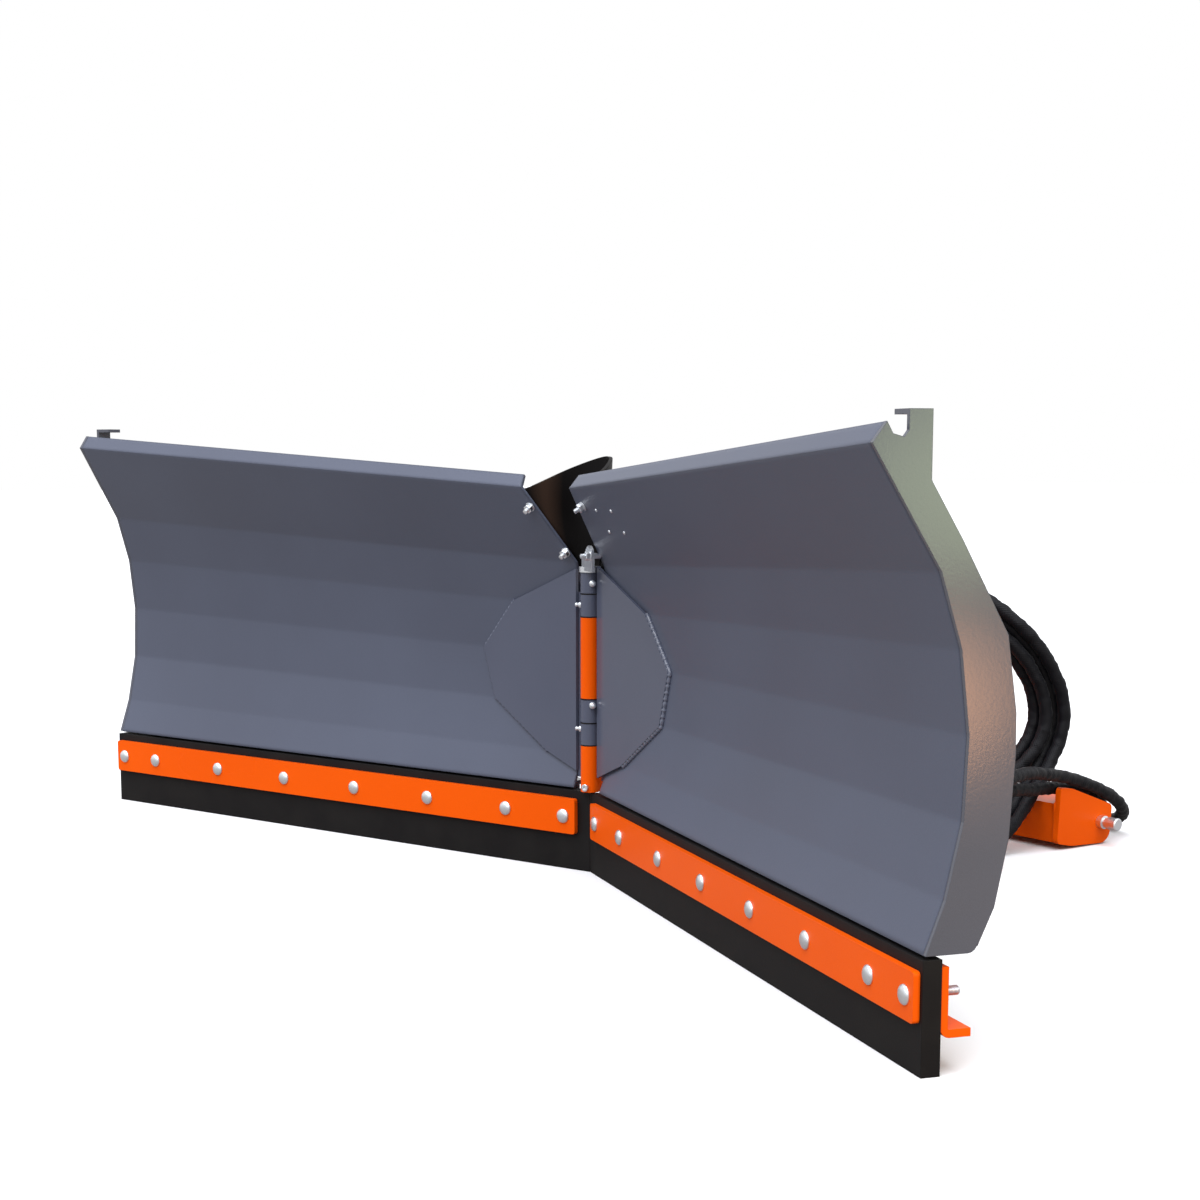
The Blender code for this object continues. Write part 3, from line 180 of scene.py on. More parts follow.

# %% [markdown]
# ## Powder coat
#
# The wings are steel, blasted and powder coated. Powder melts into a film that never lies quite flat: it
# keeps an orange-peel ripple a few millimetres across, and a fine grit under it. The ripple spreads the
# highlight, and that is what tells the eye it is powder and not sheet plastic. A bevel in the normals rounds
# the sharp edges of the solids a little, as a coat of powder does. The mouldboards get a wider one, because a
# press brake leaves a radius in every fold, and a duller back, which no snow polishes. The cut end plates get
# a copy of the grey that is a little less blue, a painted tint for the warm reflections they show. On a weld
# the film pulls thin over each ripple and shines, and its grey is paler: a painted highlight.

# %% Grey and orange powder coat
def powder_coat(name, colour, deep, roughness, shine=0.35, rounding=0.0010, dusty_back=0.0):
    made, tree, shader = new_finish(name, 0.0, roughness)
    shader.inputs["Specular IOR Level"].default_value = shine
    surface = add_node(tree, "TexCoord")
    place = surface.outputs["Object"]
    # orange peel about 3 mm across
    peel = add_node(tree, "TexNoise", {"Vector": place, "Scale": 330.0, "Detail": 2.0})
    # slow drift in film thickness over about 250 mm
    drift = add_node(tree, "TexNoise", {"Vector": place, "Scale": 4.0, "Detail": 3.0})
    # grit about 0.7 mm, drawn a little coarse so that it shows
    grit = add_node(tree, "TexNoise", {"Vector": place, "Scale": 1400.0, "Detail": 1.0})
    shade = add_node(tree, "Math", {0: drift.outputs["Fac"], 1: grit.outputs["Fac"]}, operation="ADD")
    amount = add_node(tree, "MapRange", {"Value": shade.outputs[0], "From Min": 0.7, "From Max": 1.3})
    shades = {"Factor": amount.outputs[0], "A": linear(deep), "B": linear(colour)}
    mixed = add_node(tree, "Mix", shades, data_type="RGBA")
    tree.links.new(mixed.outputs["Result"], shader.inputs["Base Color"])
    spread = {"To Min": roughness - 0.08, "To Max": roughness + 0.08}
    polish = add_node(tree, "MapRange", {"Value": drift.outputs["Fac"], **spread}).outputs[0]
    if dusty_back:
        # the side that faces back, away from the snow, is duller
        backward = add_node(tree, "SeparateXYZ", {0: surface.outputs["Normal"]}).outputs["Y"]
        dust_sheen_and_dullness = add_node(tree, "MapRange", {"Value": backward, "From Max": 0.3, "To Max": dusty_back})
        polish = add_node(tree, "Math", {0: polish, 1: dust_sheen_and_dullness.outputs[0]}, operation="ADD").outputs[0]
    tree.links.new(polish, shader.inputs["Roughness"])
    soft_edge = add_node(tree, "Bevel", {"Radius": rounding}, samples=4)
    relief = {"Strength": 0.10, "Distance": 0.0006, "Height": peel.outputs["Fac"]}
    bump = add_node(tree, "Bump", {**relief, "Normal": soft_edge.outputs[0]})
    tree.links.new(bump.outputs[0], shader.inputs["Normal"])
    return made


# colour, its deeper shade and roughness, and then shine, rounded edge and dullness of the back
GREY_COAT = powder_coat("grey_powder_coat_on_steel", "5A5F70", "525768", 0.19)
# a less blue copy of the grey: painted tint for the warm reflections on the end plates
TINTED_PLATE_COAT = powder_coat("grey_powder_coat_on_cut_plate", "5C5E68", "54565F", 0.19)
FOLDED_COAT = powder_coat("grey_powder_coat_on_folded_sheet", "575D6E", "505565", 0.42, 0.35, 0.0080, 0.40)
# a paler grey than the sheet's: painted highlight on the welds, on top of their gloss
HIGHLIGHT_BEAD_COAT = powder_coat("grey_powder_coat_on_weld", "6E7486", "5E6374", 0.12, 0.80)
ORANGE_COAT = powder_coat("orange_powder_coat_on_steel", "FF6204", "F65A02", 0.30, 0.08)
print("made", GREY_COAT.name, TINTED_PLATE_COAT.name, FOLDED_COAT.name, HIGHLIGHT_BEAD_COAT.name, "and", ORANGE_COAT.name)

# %% [markdown]
# ## Rubber
#
# The scraping edge and the centre flap are cut from black sheet rubber. Pressed sheet has a faint cloth-like
# grain from the press, and it is nearly matt. A little grey dust lies on the edge in clouds. On the thin flap
# the second colour is a painted sheen instead: a brown band along each of the two folds, where the bent
# rubber catches the light.

# %% Black sheet rubber
def sheet_rubber(name, colour, dust_and_sheen_colour, matt, shine, grain_mm, fold=None):
    made, tree, shader = new_finish(name, 0.0, matt)
    shader.inputs["Specular IOR Level"].default_value = shine
    place = add_node(tree, "TexCoord").outputs["Object"]
    grain = add_node(tree, "TexVoronoi", {"Vector": place, "Scale": 1000.0 / grain_mm}, feature="SMOOTH_F1")
    # clouds about 55 mm across
    cloud = add_node(tree, "TexNoise", {"Vector": place, "Scale": 18.0, "Detail": 5.0}).outputs["Fac"]
    dust_and_sheen_range = {"Value": cloud, "From Min": 0.40, "From Max": 0.75}
    if fold:
        # painted sheen: a band along the two folds, this far from the middle, takes the second colour and
        # fades over 8 mm
        across = add_node(tree, "SeparateXYZ", {0: place}).outputs["X"]
        outward = add_node(tree, "Math", {0: across}, operation="ABSOLUTE")
        past_fold = add_node(tree, "Math", {0: outward.outputs[0], 1: fold}, operation="SUBTRACT")
        off_fold = add_node(tree, "Math", {0: past_fold.outputs[0]}, operation="ABSOLUTE")
        dust_and_sheen_range = {"Value": off_fold.outputs[0], "From Min": 0.0085, "From Max": 0.0010}
    # the second colour is grey dust on the edge rubber, and a painted sheen along the folds on the flap
    dust_sheen_and_dullness = add_node(tree, "MapRange", dust_and_sheen_range)
    shades = {"Factor": dust_sheen_and_dullness.outputs[0], "A": linear(colour), "B": linear(dust_and_sheen_colour)}
    mixed = add_node(tree, "Mix", shades, data_type="RGBA")
    tree.links.new(mixed.outputs["Result"], shader.inputs["Base Color"])
    polish = add_node(tree, "MapRange", {"Value": cloud, "To Min": matt - 0.08, "To Max": matt + 0.12})
    tree.links.new(polish.outputs[0], shader.inputs["Roughness"])
    soft_edge = add_node(tree, "Bevel", {"Radius": 0.0015}, samples=4)
    relief = {"Strength": 0.15, "Distance": 0.0004, "Height": grain.outputs["Distance"]}
    bump = add_node(tree, "Bump", {**relief, "Normal": soft_edge.outputs[0]})
    tree.links.new(bump.outputs[0], shader.inputs["Normal"])
    return made


EDGE_RUBBER = sheet_rubber("pressed_sheet_rubber", "0F0D0E", "1A1817", 0.62, 0.18, 2.2)
# brown along the folds: painted sheen where the bent flap catches the light
FLAP_RUBBER = sheet_rubber("thin_flap_rubber", "0A0808", "35271F", 0.42, 0.10, 1.6, 0.0505)
print("made", EDGE_RUBBER.name, "and", FLAP_RUBBER.name)

# %% [markdown]
# ## Zinc and chrome
#
# Bolts, nuts, the hinge pin and the couplers are zinc plated: a pale, faintly blue metal whose crystals make
# small patches of slightly different polish. The piston rods are ground and hard chromed, so they are mirror
# bright, and their patches are finer.

# %% Zinc plate and hard chrome
def plated_steel(name, colour, roughness, patch_mm, spread):
    made, tree, shader = new_finish(name, 1.0, roughness)
    shader.inputs["Base Color"].default_value = linear(colour)
    place = add_node(tree, "TexCoord").outputs["Object"]
    patch = add_node(tree, "TexNoise", {"Vector": place, "Scale": 1000.0 / patch_mm, "Detail": 2.0})
    limits = {"From Min": 0.3, "From Max": 0.7, "To Min": roughness - spread, "To Max": roughness + spread}
    polish = add_node(tree, "MapRange", {"Value": patch.outputs["Fac"], **limits})
    tree.links.new(polish.outputs[0], shader.inputs["Roughness"])
    bump = add_node(tree, "Bump", {"Strength": 0.02, "Distance": 0.0002, "Height": patch.outputs["Fac"]})
    tree.links.new(bump.outputs[0], shader.inputs["Normal"])
    return made


ZINC_PLATE = plated_steel("bright_zinc_plate", "E2E6EB", 0.34, 3.0, 0.05)
HARD_CHROME = plated_steel("ground_hard_chrome", "CFD2D6", 0.10, 0.8, 0.03)
print("made", ZINC_PLATE.name, "and", HARD_CHROME.name)

# %% [markdown]
# ## Woven hose sleeve
#
# Each hydraulic hose wears a woven nylon sleeve against chafing. The weave is a plain one, over and under,
# with yarns near 2 mm wide. It is drawn on the hose's own UV map, one direction round and one along,
# so it follows every bend. Where a yarn dips under, it gets the darker colour, a painted shade.

# %% Woven nylon sleeve
YARN = 0.0022
YARNS_ROUND = 26


def woven_sleeve(name, colour, deep):
    made, tree, shader = new_finish(name, 0.0, 0.55)
    shader.inputs["Specular IOR Level"].default_value = 0.18
    shader.inputs["Sheen Weight"].default_value = 0.02
    uv = add_node(tree, "UVMap", uv_map="sleeve").outputs["UV"]
    split = add_node(tree, "SeparateXYZ", {0: uv})
    # the map is in metres along and in turns round, and a yarn is half a wave
    waves = {}
    for axis, pace in (("X", YARNS_ROUND * math.pi), ("Y", math.pi / YARN)):
        yarn = add_node(tree, "Math", {0: split.outputs[axis], 1: pace}, operation="MULTIPLY")
        waves[axis] = add_node(tree, "Math", {0: yarn.outputs[0]}, operation="SINE").outputs[0]
    weave = add_node(tree, "Math", {0: waves["X"], 1: waves["Y"]}, operation="MULTIPLY")
    height = add_node(tree, "MapRange", {"Value": weave.outputs[0], "From Min": -1.0, "From Max": 1.0})
    # the low points of the weave take the darker colour: painted shade where the yarns dip under
    shades = {"Factor": height.outputs[0], "A": linear(deep), "B": linear(colour)}
    mixed = add_node(tree, "Mix", shades, data_type="RGBA")
    tree.links.new(mixed.outputs["Result"], shader.inputs["Base Color"])
    bump = add_node(tree, "Bump", {"Strength": 0.5, "Distance": 0.0008, "Height": height.outputs[0]})
    tree.links.new(bump.outputs[0], shader.inputs["Normal"])
    return made


HOSE_SLEEVE = woven_sleeve("woven_nylon_sleeve", "0F0F15", "040407")
print("made", HOSE_SLEEVE.name)

# %% [markdown]
# ## Four hoses
#
# Two hoses leave the ports of each cylinder. All four climb through a round-bar guide and fall together in
# one arc. Two of them end there on the ground. The other two make a wide loop and rise over the headstock to
# their couplers. A route is a list of points, and one smooth curve runs through them.

# %% Routes of the hoses
SLEEVE = 0.0094
STEP = 0.0035
HOSE_POINTS = {
    "left_tip_hose": (
        (-0.1344, 0.2774, 0.3213), (-0.1266, 0.2890, 0.3251), (-0.1134, 0.3095, 0.3313),
        (-0.0981, 0.3339, 0.3393), (-0.0806, 0.3620, 0.3504), (-0.0634, 0.3896, 0.3632),
        (-0.0463, 0.4170, 0.3769), (-0.0293, 0.4449, 0.3896), (-0.0124, 0.4739, 0.3987),
        (0.0049, 0.5040, 0.4024), (0.0239, 0.5331, 0.4016), (0.0483, 0.5577, 0.4006),
        (0.0775, 0.5765, 0.3978), (0.1080, 0.5910, 0.3892), (0.1382, 0.6019, 0.3748),
        (0.1662, 0.6132, 0.3566), (0.1894, 0.6284, 0.3355), (0.2050, 0.6480, 0.3116),
        (0.2141, 0.6686, 0.2848), (0.2199, 0.6863, 0.2552), (0.2235, 0.6997, 0.2229),
        (0.2244, 0.7057, 0.1888), (0.2227, 0.6999, 0.1549), (0.2216, 0.6831, 0.1244),
        (0.2239, 0.6599, 0.0984), (0.2295, 0.6338, 0.0757), (0.2357, 0.6067, 0.0545),
        (0.2402, 0.5781, 0.0347), (0.2420, 0.5468, 0.0196), (0.2415, 0.5129, 0.0117),
        (0.2405, 0.4880, 0.0105), (0.2395, 0.4680, 0.0105),
    ),
    "right_tip_hose": (
        (0.1344, 0.2774, 0.3213), (0.1266, 0.2890, 0.3251), (0.1127, 0.3093, 0.3299),
        (0.0962, 0.3334, 0.3363), (0.0770, 0.3609, 0.3458), (0.0575, 0.3879, 0.3570),
        (0.0377, 0.4151, 0.3676), (0.0196, 0.4441, 0.3755), (0.0087, 0.4758, 0.3796),
        (0.0106, 0.5084, 0.3804), (0.0264, 0.5375, 0.3799), (0.0522, 0.5607, 0.3795),
        (0.0802, 0.5814, 0.3760), (0.1088, 0.5988, 0.3667), (0.1375, 0.6128, 0.3524),
        (0.1633, 0.6273, 0.3340), (0.1818, 0.6457, 0.3117), (0.1919, 0.6666, 0.2857),
        (0.1979, 0.6851, 0.2565), (0.2019, 0.6987, 0.2244), (0.2030, 0.7046, 0.1903),
        (0.2014, 0.6987, 0.1564), (0.2006, 0.6821, 0.1258), (0.2028, 0.6591, 0.0996),
        (0.2082, 0.6331, 0.0767), (0.2145, 0.6062, 0.0551), (0.2192, 0.5779, 0.0351),
        (0.2210, 0.5467, 0.0198), (0.2205, 0.5129, 0.0117), (0.2195, 0.4880, 0.0105),
        (0.2185, 0.4680, 0.0105),
    ),
    "left_base_hose": (
        (-0.0751, 0.4288, 0.3213), (-0.0614, 0.4317, 0.3251), (-0.0400, 0.4410, 0.3309),
        (-0.0200, 0.4595, 0.3389), (-0.0026, 0.4877, 0.3487), (0.0133, 0.5182, 0.3559),
        (0.0345, 0.5446, 0.3587), (0.0630, 0.5637, 0.3585), (0.0933, 0.5794, 0.3544),
        (0.1239, 0.5922, 0.3443), (0.1531, 0.6044, 0.3292), (0.1774, 0.6200, 0.3100),
        (0.1928, 0.6400, 0.2864), (0.2009, 0.6598, 0.2587), (0.2057, 0.6754, 0.2276),
        (0.2082, 0.6831, 0.1939), (0.2073, 0.6776, 0.1606), (0.2028, 0.6589, 0.1320),
        (0.1951, 0.6330, 0.1097), (0.1855, 0.6046, 0.0917), (0.1754, 0.5753, 0.0753),
        (0.1659, 0.5455, 0.0597), (0.1575, 0.5148, 0.0451), (0.1514, 0.4828, 0.0321),
        (0.1492, 0.4493, 0.0216), (0.1531, 0.4152, 0.0146), (0.1656, 0.3842, 0.0112),
        (0.1877, 0.3614, 0.0103), (0.2163, 0.3498, 0.0107), (0.2466, 0.3505, 0.0134),
        (0.2738, 0.3625, 0.0203), (0.2934, 0.3832, 0.0327), (0.3026, 0.4089, 0.0511),
        (0.3024, 0.4367, 0.0723), (0.2967, 0.4663, 0.0900), (0.2883, 0.4981, 0.0996),
        (0.2786, 0.5313, 0.1010), (0.2684, 0.5647, 0.0975), (0.2596, 0.5982, 0.0935),
        (0.2529, 0.6320, 0.0913), (0.2490, 0.6664, 0.0886), (0.2472, 0.7011, 0.0838),
        (0.2462, 0.7354, 0.0774), (0.2426, 0.7659, 0.0617), (0.2298, 0.7899, 0.0427),
        (0.2069, 0.8048, 0.0255), (0.1765, 0.8092, 0.0141), (0.1426, 0.8042, 0.0105),
        (0.1233, 0.7993, 0.0105), (0.1040, 0.7940, 0.0105),
    ),
    "right_base_hose": (
        (0.0751, 0.4288, 0.3213), (0.0614, 0.4317, 0.3251), (0.0407, 0.4418, 0.3287),
        (0.0242, 0.4617, 0.3319), (0.0170, 0.4912, 0.3347), (0.0230, 0.5218, 0.3368),
        (0.0418, 0.5480, 0.3380), (0.0681, 0.5696, 0.3373), (0.0962, 0.5888, 0.3327),
        (0.1255, 0.6045, 0.3223), (0.1523, 0.6199, 0.3066), (0.1704, 0.6392, 0.2851),
        (0.1793, 0.6594, 0.2580), (0.1842, 0.6751, 0.2268), (0.1867, 0.6818, 0.1931),
        (0.1855, 0.6749, 0.1602), (0.1804, 0.6554, 0.1323), (0.1720, 0.6292, 0.1104),
        (0.1619, 0.6007, 0.0925), (0.1518, 0.5714, 0.0762), (0.1422, 0.5414, 0.0607),
        (0.1341, 0.5106, 0.0460), (0.1282, 0.4786, 0.0329), (0.1259, 0.4453, 0.0226),
        (0.1289, 0.4112, 0.0155), (0.1387, 0.3779, 0.0118), (0.1566, 0.3480, 0.0106),
        (0.1824, 0.3248, 0.0105), (0.2143, 0.3108, 0.0105), (0.2488, 0.3083, 0.0105),
        (0.2817, 0.3183, 0.0123), (0.3082, 0.3386, 0.0194), (0.3251, 0.3645, 0.0340),
        (0.3320, 0.3916, 0.0546), (0.3309, 0.4183, 0.0775), (0.3252, 0.4457, 0.0989),
        (0.3168, 0.4752, 0.1150), (0.3071, 0.5070, 0.1240), (0.2973, 0.5403, 0.1262),
        (0.2877, 0.5739, 0.1236), (0.2785, 0.6073, 0.1185), (0.2713, 0.6407, 0.1123),
        (0.2683, 0.6742, 0.1044), (0.2679, 0.7074, 0.0942), (0.2678, 0.7401, 0.0814),
        (0.2658, 0.7717, 0.0662), (0.2584, 0.8007, 0.0484), (0.2405, 0.8234, 0.0314),
        (0.2131, 0.8361, 0.0183), (0.1800, 0.8371, 0.0114), (0.1412, 0.8276, 0.0105),
        (0.1220, 0.8220, 0.0105),
    ),
}


def smooth_path(points, step):
    """Points about a step apart on a smooth curve through the given ones."""
    ends = [2 * points[0] - points[1]] + points + [2 * points[-1] - points[-2]]
    found = [points[0]]
    for a, b, c, d in zip(ends, ends[1:], ends[2:], ends[3:]):
        count = max(1, round((c - b).length / step))
        for i in range(1, count + 1):
            t = i / count
            start, stop = (c - a) / 2, (d - b) / 2
            near = ((2 * t - 3) * t * t + 1) * b + ((t - 2) * t + 1) * t * start
            found.append(near + (3 - 2 * t) * t * t * c + (t - 1) * t * t * stop)
    return found


def path_length(path):
    return sum((b - a).length for a, b in zip(path, path[1:]))


ROUTES = {}
for name, points in HOSE_POINTS.items():
    ROUTES[name] = [PIN + point for point in smooth_path([Vector(point) for point in points], STEP)]
    print(name, round(path_length(ROUTES[name]), 3), "m")

# %% [markdown]
# ## Sleeves on the hoses
#
# A hose is a tube on its route: a curve with a round bevel, made into a mesh. The sleeve is loose on it and
# wrinkles, so the radius swells and shrinks every centimetre, and a cloud of small dents lies over it.

# %% Sleeved hoses
def nothing_selected():
    if bpy.context.mode != "OBJECT":
        bpy.ops.object.mode_set(mode="OBJECT")
    bpy.ops.object.select_all(action="DESELECT")


def tube_on(name, route, radius, swell, sides_level):
    """A curve on the route, its radius following swell(distance), made into a mesh with a UV map along it."""
    nothing_selected()
    curve = bpy.data.curves.new(name, "CURVE")
    curve.dimensions = "3D"
    curve.bevel_depth = radius
    curve.bevel_resolution = sides_level
    curve.use_fill_caps = True
    spline = curve.splines.new("POLY")
    spline.points.add(len(route) - 1)
    reach = [0.0]
    for a, b in zip(route, route[1:]):
        reach.append(reach[-1] + (b - a).length)
    for knot, point, along in zip(spline.points, route, reach):
        knot.co = (*point, 1)
        knot.radius = swell(along)
    made = bpy.data.objects.new(name, curve)
    bpy.context.scene.collection.objects.link(made)
    made.select_set(True)
    bpy.context.view_layer.objects.active = made
    bpy.ops.object.convert(target="MESH")
    made = bpy.context.object
    sides = 2 * (sides_level + 2)
    layer = made.data.uv_layers.new(name="sleeve")
    for face in made.data.polygons:
        steps = [made.data.loops[k].vertex_index % sides for k in face.loop_indices]
        for k, step in zip(face.loop_indices, steps):
            turn = step + sides if step == 0 and max(steps) == sides - 1 else step
            ring = min(made.data.loops[k].vertex_index // sides, len(reach) - 1)
            layer.data[k].uv = (turn / sides, reach[ring])
    bpy.ops.object.shade_smooth()
    return made


def wrinkles(along):
    """The loose sleeve's swelling, up to a twentieth either way, in waves 14, 23 and 9 mm long."""
    wave = math.sin(along * 460) + 0.7 * math.sin(along * 271 + 1.3) + 0.5 * math.sin(along * 705 + 0.4)
    return 1.0 + 0.0205 * wave


DENTS = bpy.data.textures.new("dents_in_the_sleeve", "CLOUDS")
DENTS.noise_scale = 0.012


def dented(hose):
    """Push the sleeve in and out where it lies in folds, by up to a millimetre."""
    dents = hose.modifiers.new("dents", "DISPLACE")
    dents.texture = DENTS
    dents.texture_coords = "LOCAL"
    dents.strength = 0.0040
    bpy.ops.object.modifier_apply(modifier=dents.name)


HOSES = {}
for name, route in ROUTES.items():
    hose = tube_on("sleeved_" + name, route, SLEEVE, wrinkles, 6)
    dented(hose)
    hose.data.materials.append(HOSE_SLEEVE)
    HOSES[name] = hose
    print(hose.name, len(hose.data.polygons), "faces")

# %% [markdown]
# ## The hoses in place
#
# A barrel swings a few degrees as its wing moves, and its ports go with it. Here each sleeved hose is only
# set in place, and the solid hose of the same name is hidden. The stretch where each would bend is listed
# but not used.

# %% Sleeved hoses in place of the solid ones
BENDS = {
    "left_tip_hose": ((0.034, 0.546, 0.401), (0.034, 0.455, 0.492)),
    "right_tip_hose": ((0.034, 0.546, 0.380), (0.034, 0.445, 0.481)),
    "left_base_hose": ((0.000, 0.500, 0.360), (-0.070, 0.500, 0.360)),
    "right_base_hose": ((0.034, 0.546, 0.338), (0.034, 0.496, 0.388)),
}
for name, hose in HOSES.items():
    side = name.split("_")[0]
    start, end = (PIN + Vector(point) for point in BENDS[name])
    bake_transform(hose)
    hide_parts(name)
    route = ROUTES[name]
    print(hose.name, "bends between frame and", side + "_barrel")

# %% [markdown]
# ## Floor and light
#
# A product picture on white. One very broad light stands high in front, and the room gives a weak fill.
# Light from above is what models the folds: the low ones face up and are pale, the high ones face down and
# are dark. A white floor would throw too much light back up and flatten them, so the floor is white to the
# camera only, and grey to the light that bounces off it. It keeps the plough's shadow. Two small lamps by the
# right end plate stand for the warm and the pale things that it mirrors in the picture.

# %% Floor, room and lamps
nothing_selected()
bpy.ops.mesh.primitive_plane_add(size=60.0, location=(0, 0, -0.0005))
floor = bpy.context.object
floor.name = "floor"
pale, pale_tree, pale_shader = new_finish("pale_studio_floor", 0.0, 0.9)
pale_shader.inputs["Specular IOR Level"].default_value = 0.0
ray = add_node(pale_tree, "LightPath")
tones = {"Factor": ray.outputs["Is Camera Ray"], "A": linear("9C9894"), "B": linear("FFFFFF")}
tone = add_node(pale_tree, "Mix", tones, data_type="RGBA")
pale_tree.links.new(tone.outputs["Result"], pale_shader.inputs["Base Color"])
floor.data.materials.append(pale)

world = bpy.data.worlds.new("white_room")
bpy.context.scene.world = world
world.use_nodes = True
room = world.node_tree
background = room.nodes["Background"]
background.inputs["Color"].default_value = linear("FFFFFF")
ray = add_node(room, "LightPath")
rays = {0: ray.outputs["Is Camera Ray"], 1: ray.outputs["Is Glossy Ray"]}
seen = add_node(room, "Math", rays, operation="MAXIMUM")
strength = add_node(room, "MapRange", {"Value": seen.outputs[0], "To Min": 0.50, "To Max": 1.0})
room.links.new(strength.outputs[0], background.inputs["Strength"])


def soft_box(name, place, target, size, power, colour):
    lamp = bpy.data.lights.new(name, "AREA")
    lamp.shape = "DISK"
    lamp.size = size
    lamp.energy = power
    lamp.color = linear(colour)[:3]
    made = bpy.data.objects.new(name, lamp)
    made.location = place
    made.rotation_euler = (Vector(target) - Vector(place)).to_track_quat("-Z", "Y").to_euler()
    made.visible_camera = False
    bpy.context.scene.collection.objects.link(made)


sky = bpy.data.lights.new("broad_sky", "SUN")
sky.energy = 4.2
sky.angle = math.radians(80)
sky.color = linear("F6F8FF")[:3]
sky_lamp = bpy.data.objects.new("broad_sky", sky)
sky_lamp.rotation_euler = Vector((-0.22, 0.42, -1.0)).to_track_quat("-Z", "Y").to_euler()
bpy.context.scene.collection.objects.link(sky_lamp)
soft_box("warm_lamp", (1.93, -0.32, 0.24), (0.95, -0.5, 0.36), 0.20, 1.7, "FFB67C")
soft_box("pale_lamp", (1.95, -0.29, 0.545), (0.97, -0.47, 0.605), 0.28, 1.7, "EAFFC4")
bpy.context.scene.view_settings.view_transform = "Standard"

# %% [markdown]
# ## Dressing the solids
#
# The solids already know which finish they should have: their first slot is named for it. Swapping in the
# finishes made above dresses all of them at once. The hoses and the flap get their own pieces instead.

# %% Finishes on the solids
FINISHES = {
    "grey_powder_coat": GREY_COAT,
    "orange_powder_coat": ORANGE_COAT,
    "black_rubber": EDGE_RUBBER,
    "zinc_plate": ZINC_PLATE,
    "hard_chrome": HARD_CHROME,
}
for name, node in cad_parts.items():
    plain = node.data.materials[0].name.split(".")[0]
    if name.endswith("mouldboard"):
        node.data.materials[0] = FOLDED_COAT
    elif name.endswith("cheek"):
        # the end plates take the less blue copy, a painted reflection tint
        node.data.materials[0] = TINTED_PLATE_COAT
    elif plain in FINISHES:
        node.data.materials[0] = FINISHES[plain]
    else:
        print("no finish for", name, plain)
print("dressed", len(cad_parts), "solids")

# %% [markdown]
# ## The centre flap
#
# A rubber sheet closes the gap above the hinge. It is held behind each wing and bows backwards between them.
# It is made in two halves, one on each side, which meet at the middle. The halves are not fixed to either
# wing. The right half hangs lower, to close the slit beside the pin.

# %% Flap
FLAP = 0.005
FLAP_BASE = {-1: 0.422, 1: 0.406}
FLAP_CORNER = {-1: 0.012, 1: 0.006}
FLAP_TOP = 0.530
FLAP_CREST = 0.573
# the inner edge of a wing's sheet stands this far out, and slants further out from here up
INNER_EDGE, SLANT, SLANT_START, SLANT_RISE = 0.0310, 0.046, 0.422, 0.108
SHOULDER = 0.62


def faces_outward():
    """Close edit mode, with every face pointing out."""
    bpy.ops.mesh.select_all(action="SELECT")
    bpy.ops.mesh.normals_make_consistent(inside=False)
    bpy.ops.object.mode_set(mode="OBJECT")


def flap_line(side, share):
    """From the middle of the flap to its held edge, at this share of its height."""
    height = FLAP_BASE[side] + (FLAP_TOP - FLAP_BASE[side]) * share
    edge = INNER_EDGE + SLANT * max(0.0, (height - SLANT_START) / SLANT_RISE)
    bulge = 0.018 + 0.012 * share
    crest = height + (FLAP_CREST - FLAP_TOP) * share
    held = []
    held_height = height - FLAP_CORNER[side] * (1 - share)
    for along in (edge, edge + 0.015, edge + 0.030):
        back, lean = sheet_back(along, held_height)
        back += (SHEET + FLAP / 2 + 0.003) / math.cos(math.radians(lean))
        held.append(on_wing(side, along, back, held_height))
    first = held[0] - PIN
    shoulder = PIN + Vector((first.x * SHOULDER, (first.y + 2 * bulge) / 3, (height + 2 * crest) / 3))
    mirror = PIN + Vector((-first.x * SHOULDER, shoulder.y - PIN.y, shoulder.z))
    fine = smooth_path([mirror, PIN + Vector((0, bulge, crest)), shoulder, *held], 0.002)
    middle = min(range(len(fine)), key=lambda i: abs(fine[i].x))
    fine = fine[middle:]
    fine[0].x = 0.0
    return fine


def flap_half(side):
    """One half as a grid that is laid on those lines, and then given its thickness."""
    columns, rows = 20, 14
    nothing_selected()
    bpy.ops.mesh.primitive_grid_add(x_subdivisions=columns, y_subdivisions=rows, size=1.0)
    made = bpy.context.object
    made.name = ("right" if side > 0 else "left") + "_half_of_flap"
    for vertex in made.data.vertices:
        line = flap_line(side, vertex.co.y + 0.5)
        spot = (vertex.co.x + 0.5) * (len(line) - 1)
        low = min(int(spot), len(line) - 2)
        vertex.co = line[low].lerp(line[low + 1], spot - low)
    wall = made.modifiers.new("wall", "SOLIDIFY")
    wall.thickness = FLAP
    wall.offset = 0.0
    bpy.ops.object.modifier_apply(modifier=wall.name)
    bpy.ops.object.mode_set(mode="EDIT")
    faces_outward()
    bpy.ops.object.shade_smooth_by_angle(angle=math.radians(40))
    made.data.materials.append(FLAP_RUBBER)
    return made


for side, wing in ((-1, "left_wing"), (1, "right_wing")):
    half = flap_half(side)
    start = PIN + Vector((0, 0.02, 0.48))
    end = PIN + Vector((side * 0.040, 0.02, 0.48))
    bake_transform(half)
    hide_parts("centre_flap")
    print(half.name, len(half.data.polygons), "faces")

# %% [markdown]
# ## Turned hardware
#
# Bolt heads, nipples and ferrules are all bodies of revolution. One helper does what a hand would do with
# a disc: extrude the rim a little, scale it, and extrude again. A second helper lays out copies, each with
# its own mesh, and joins them into one piece.

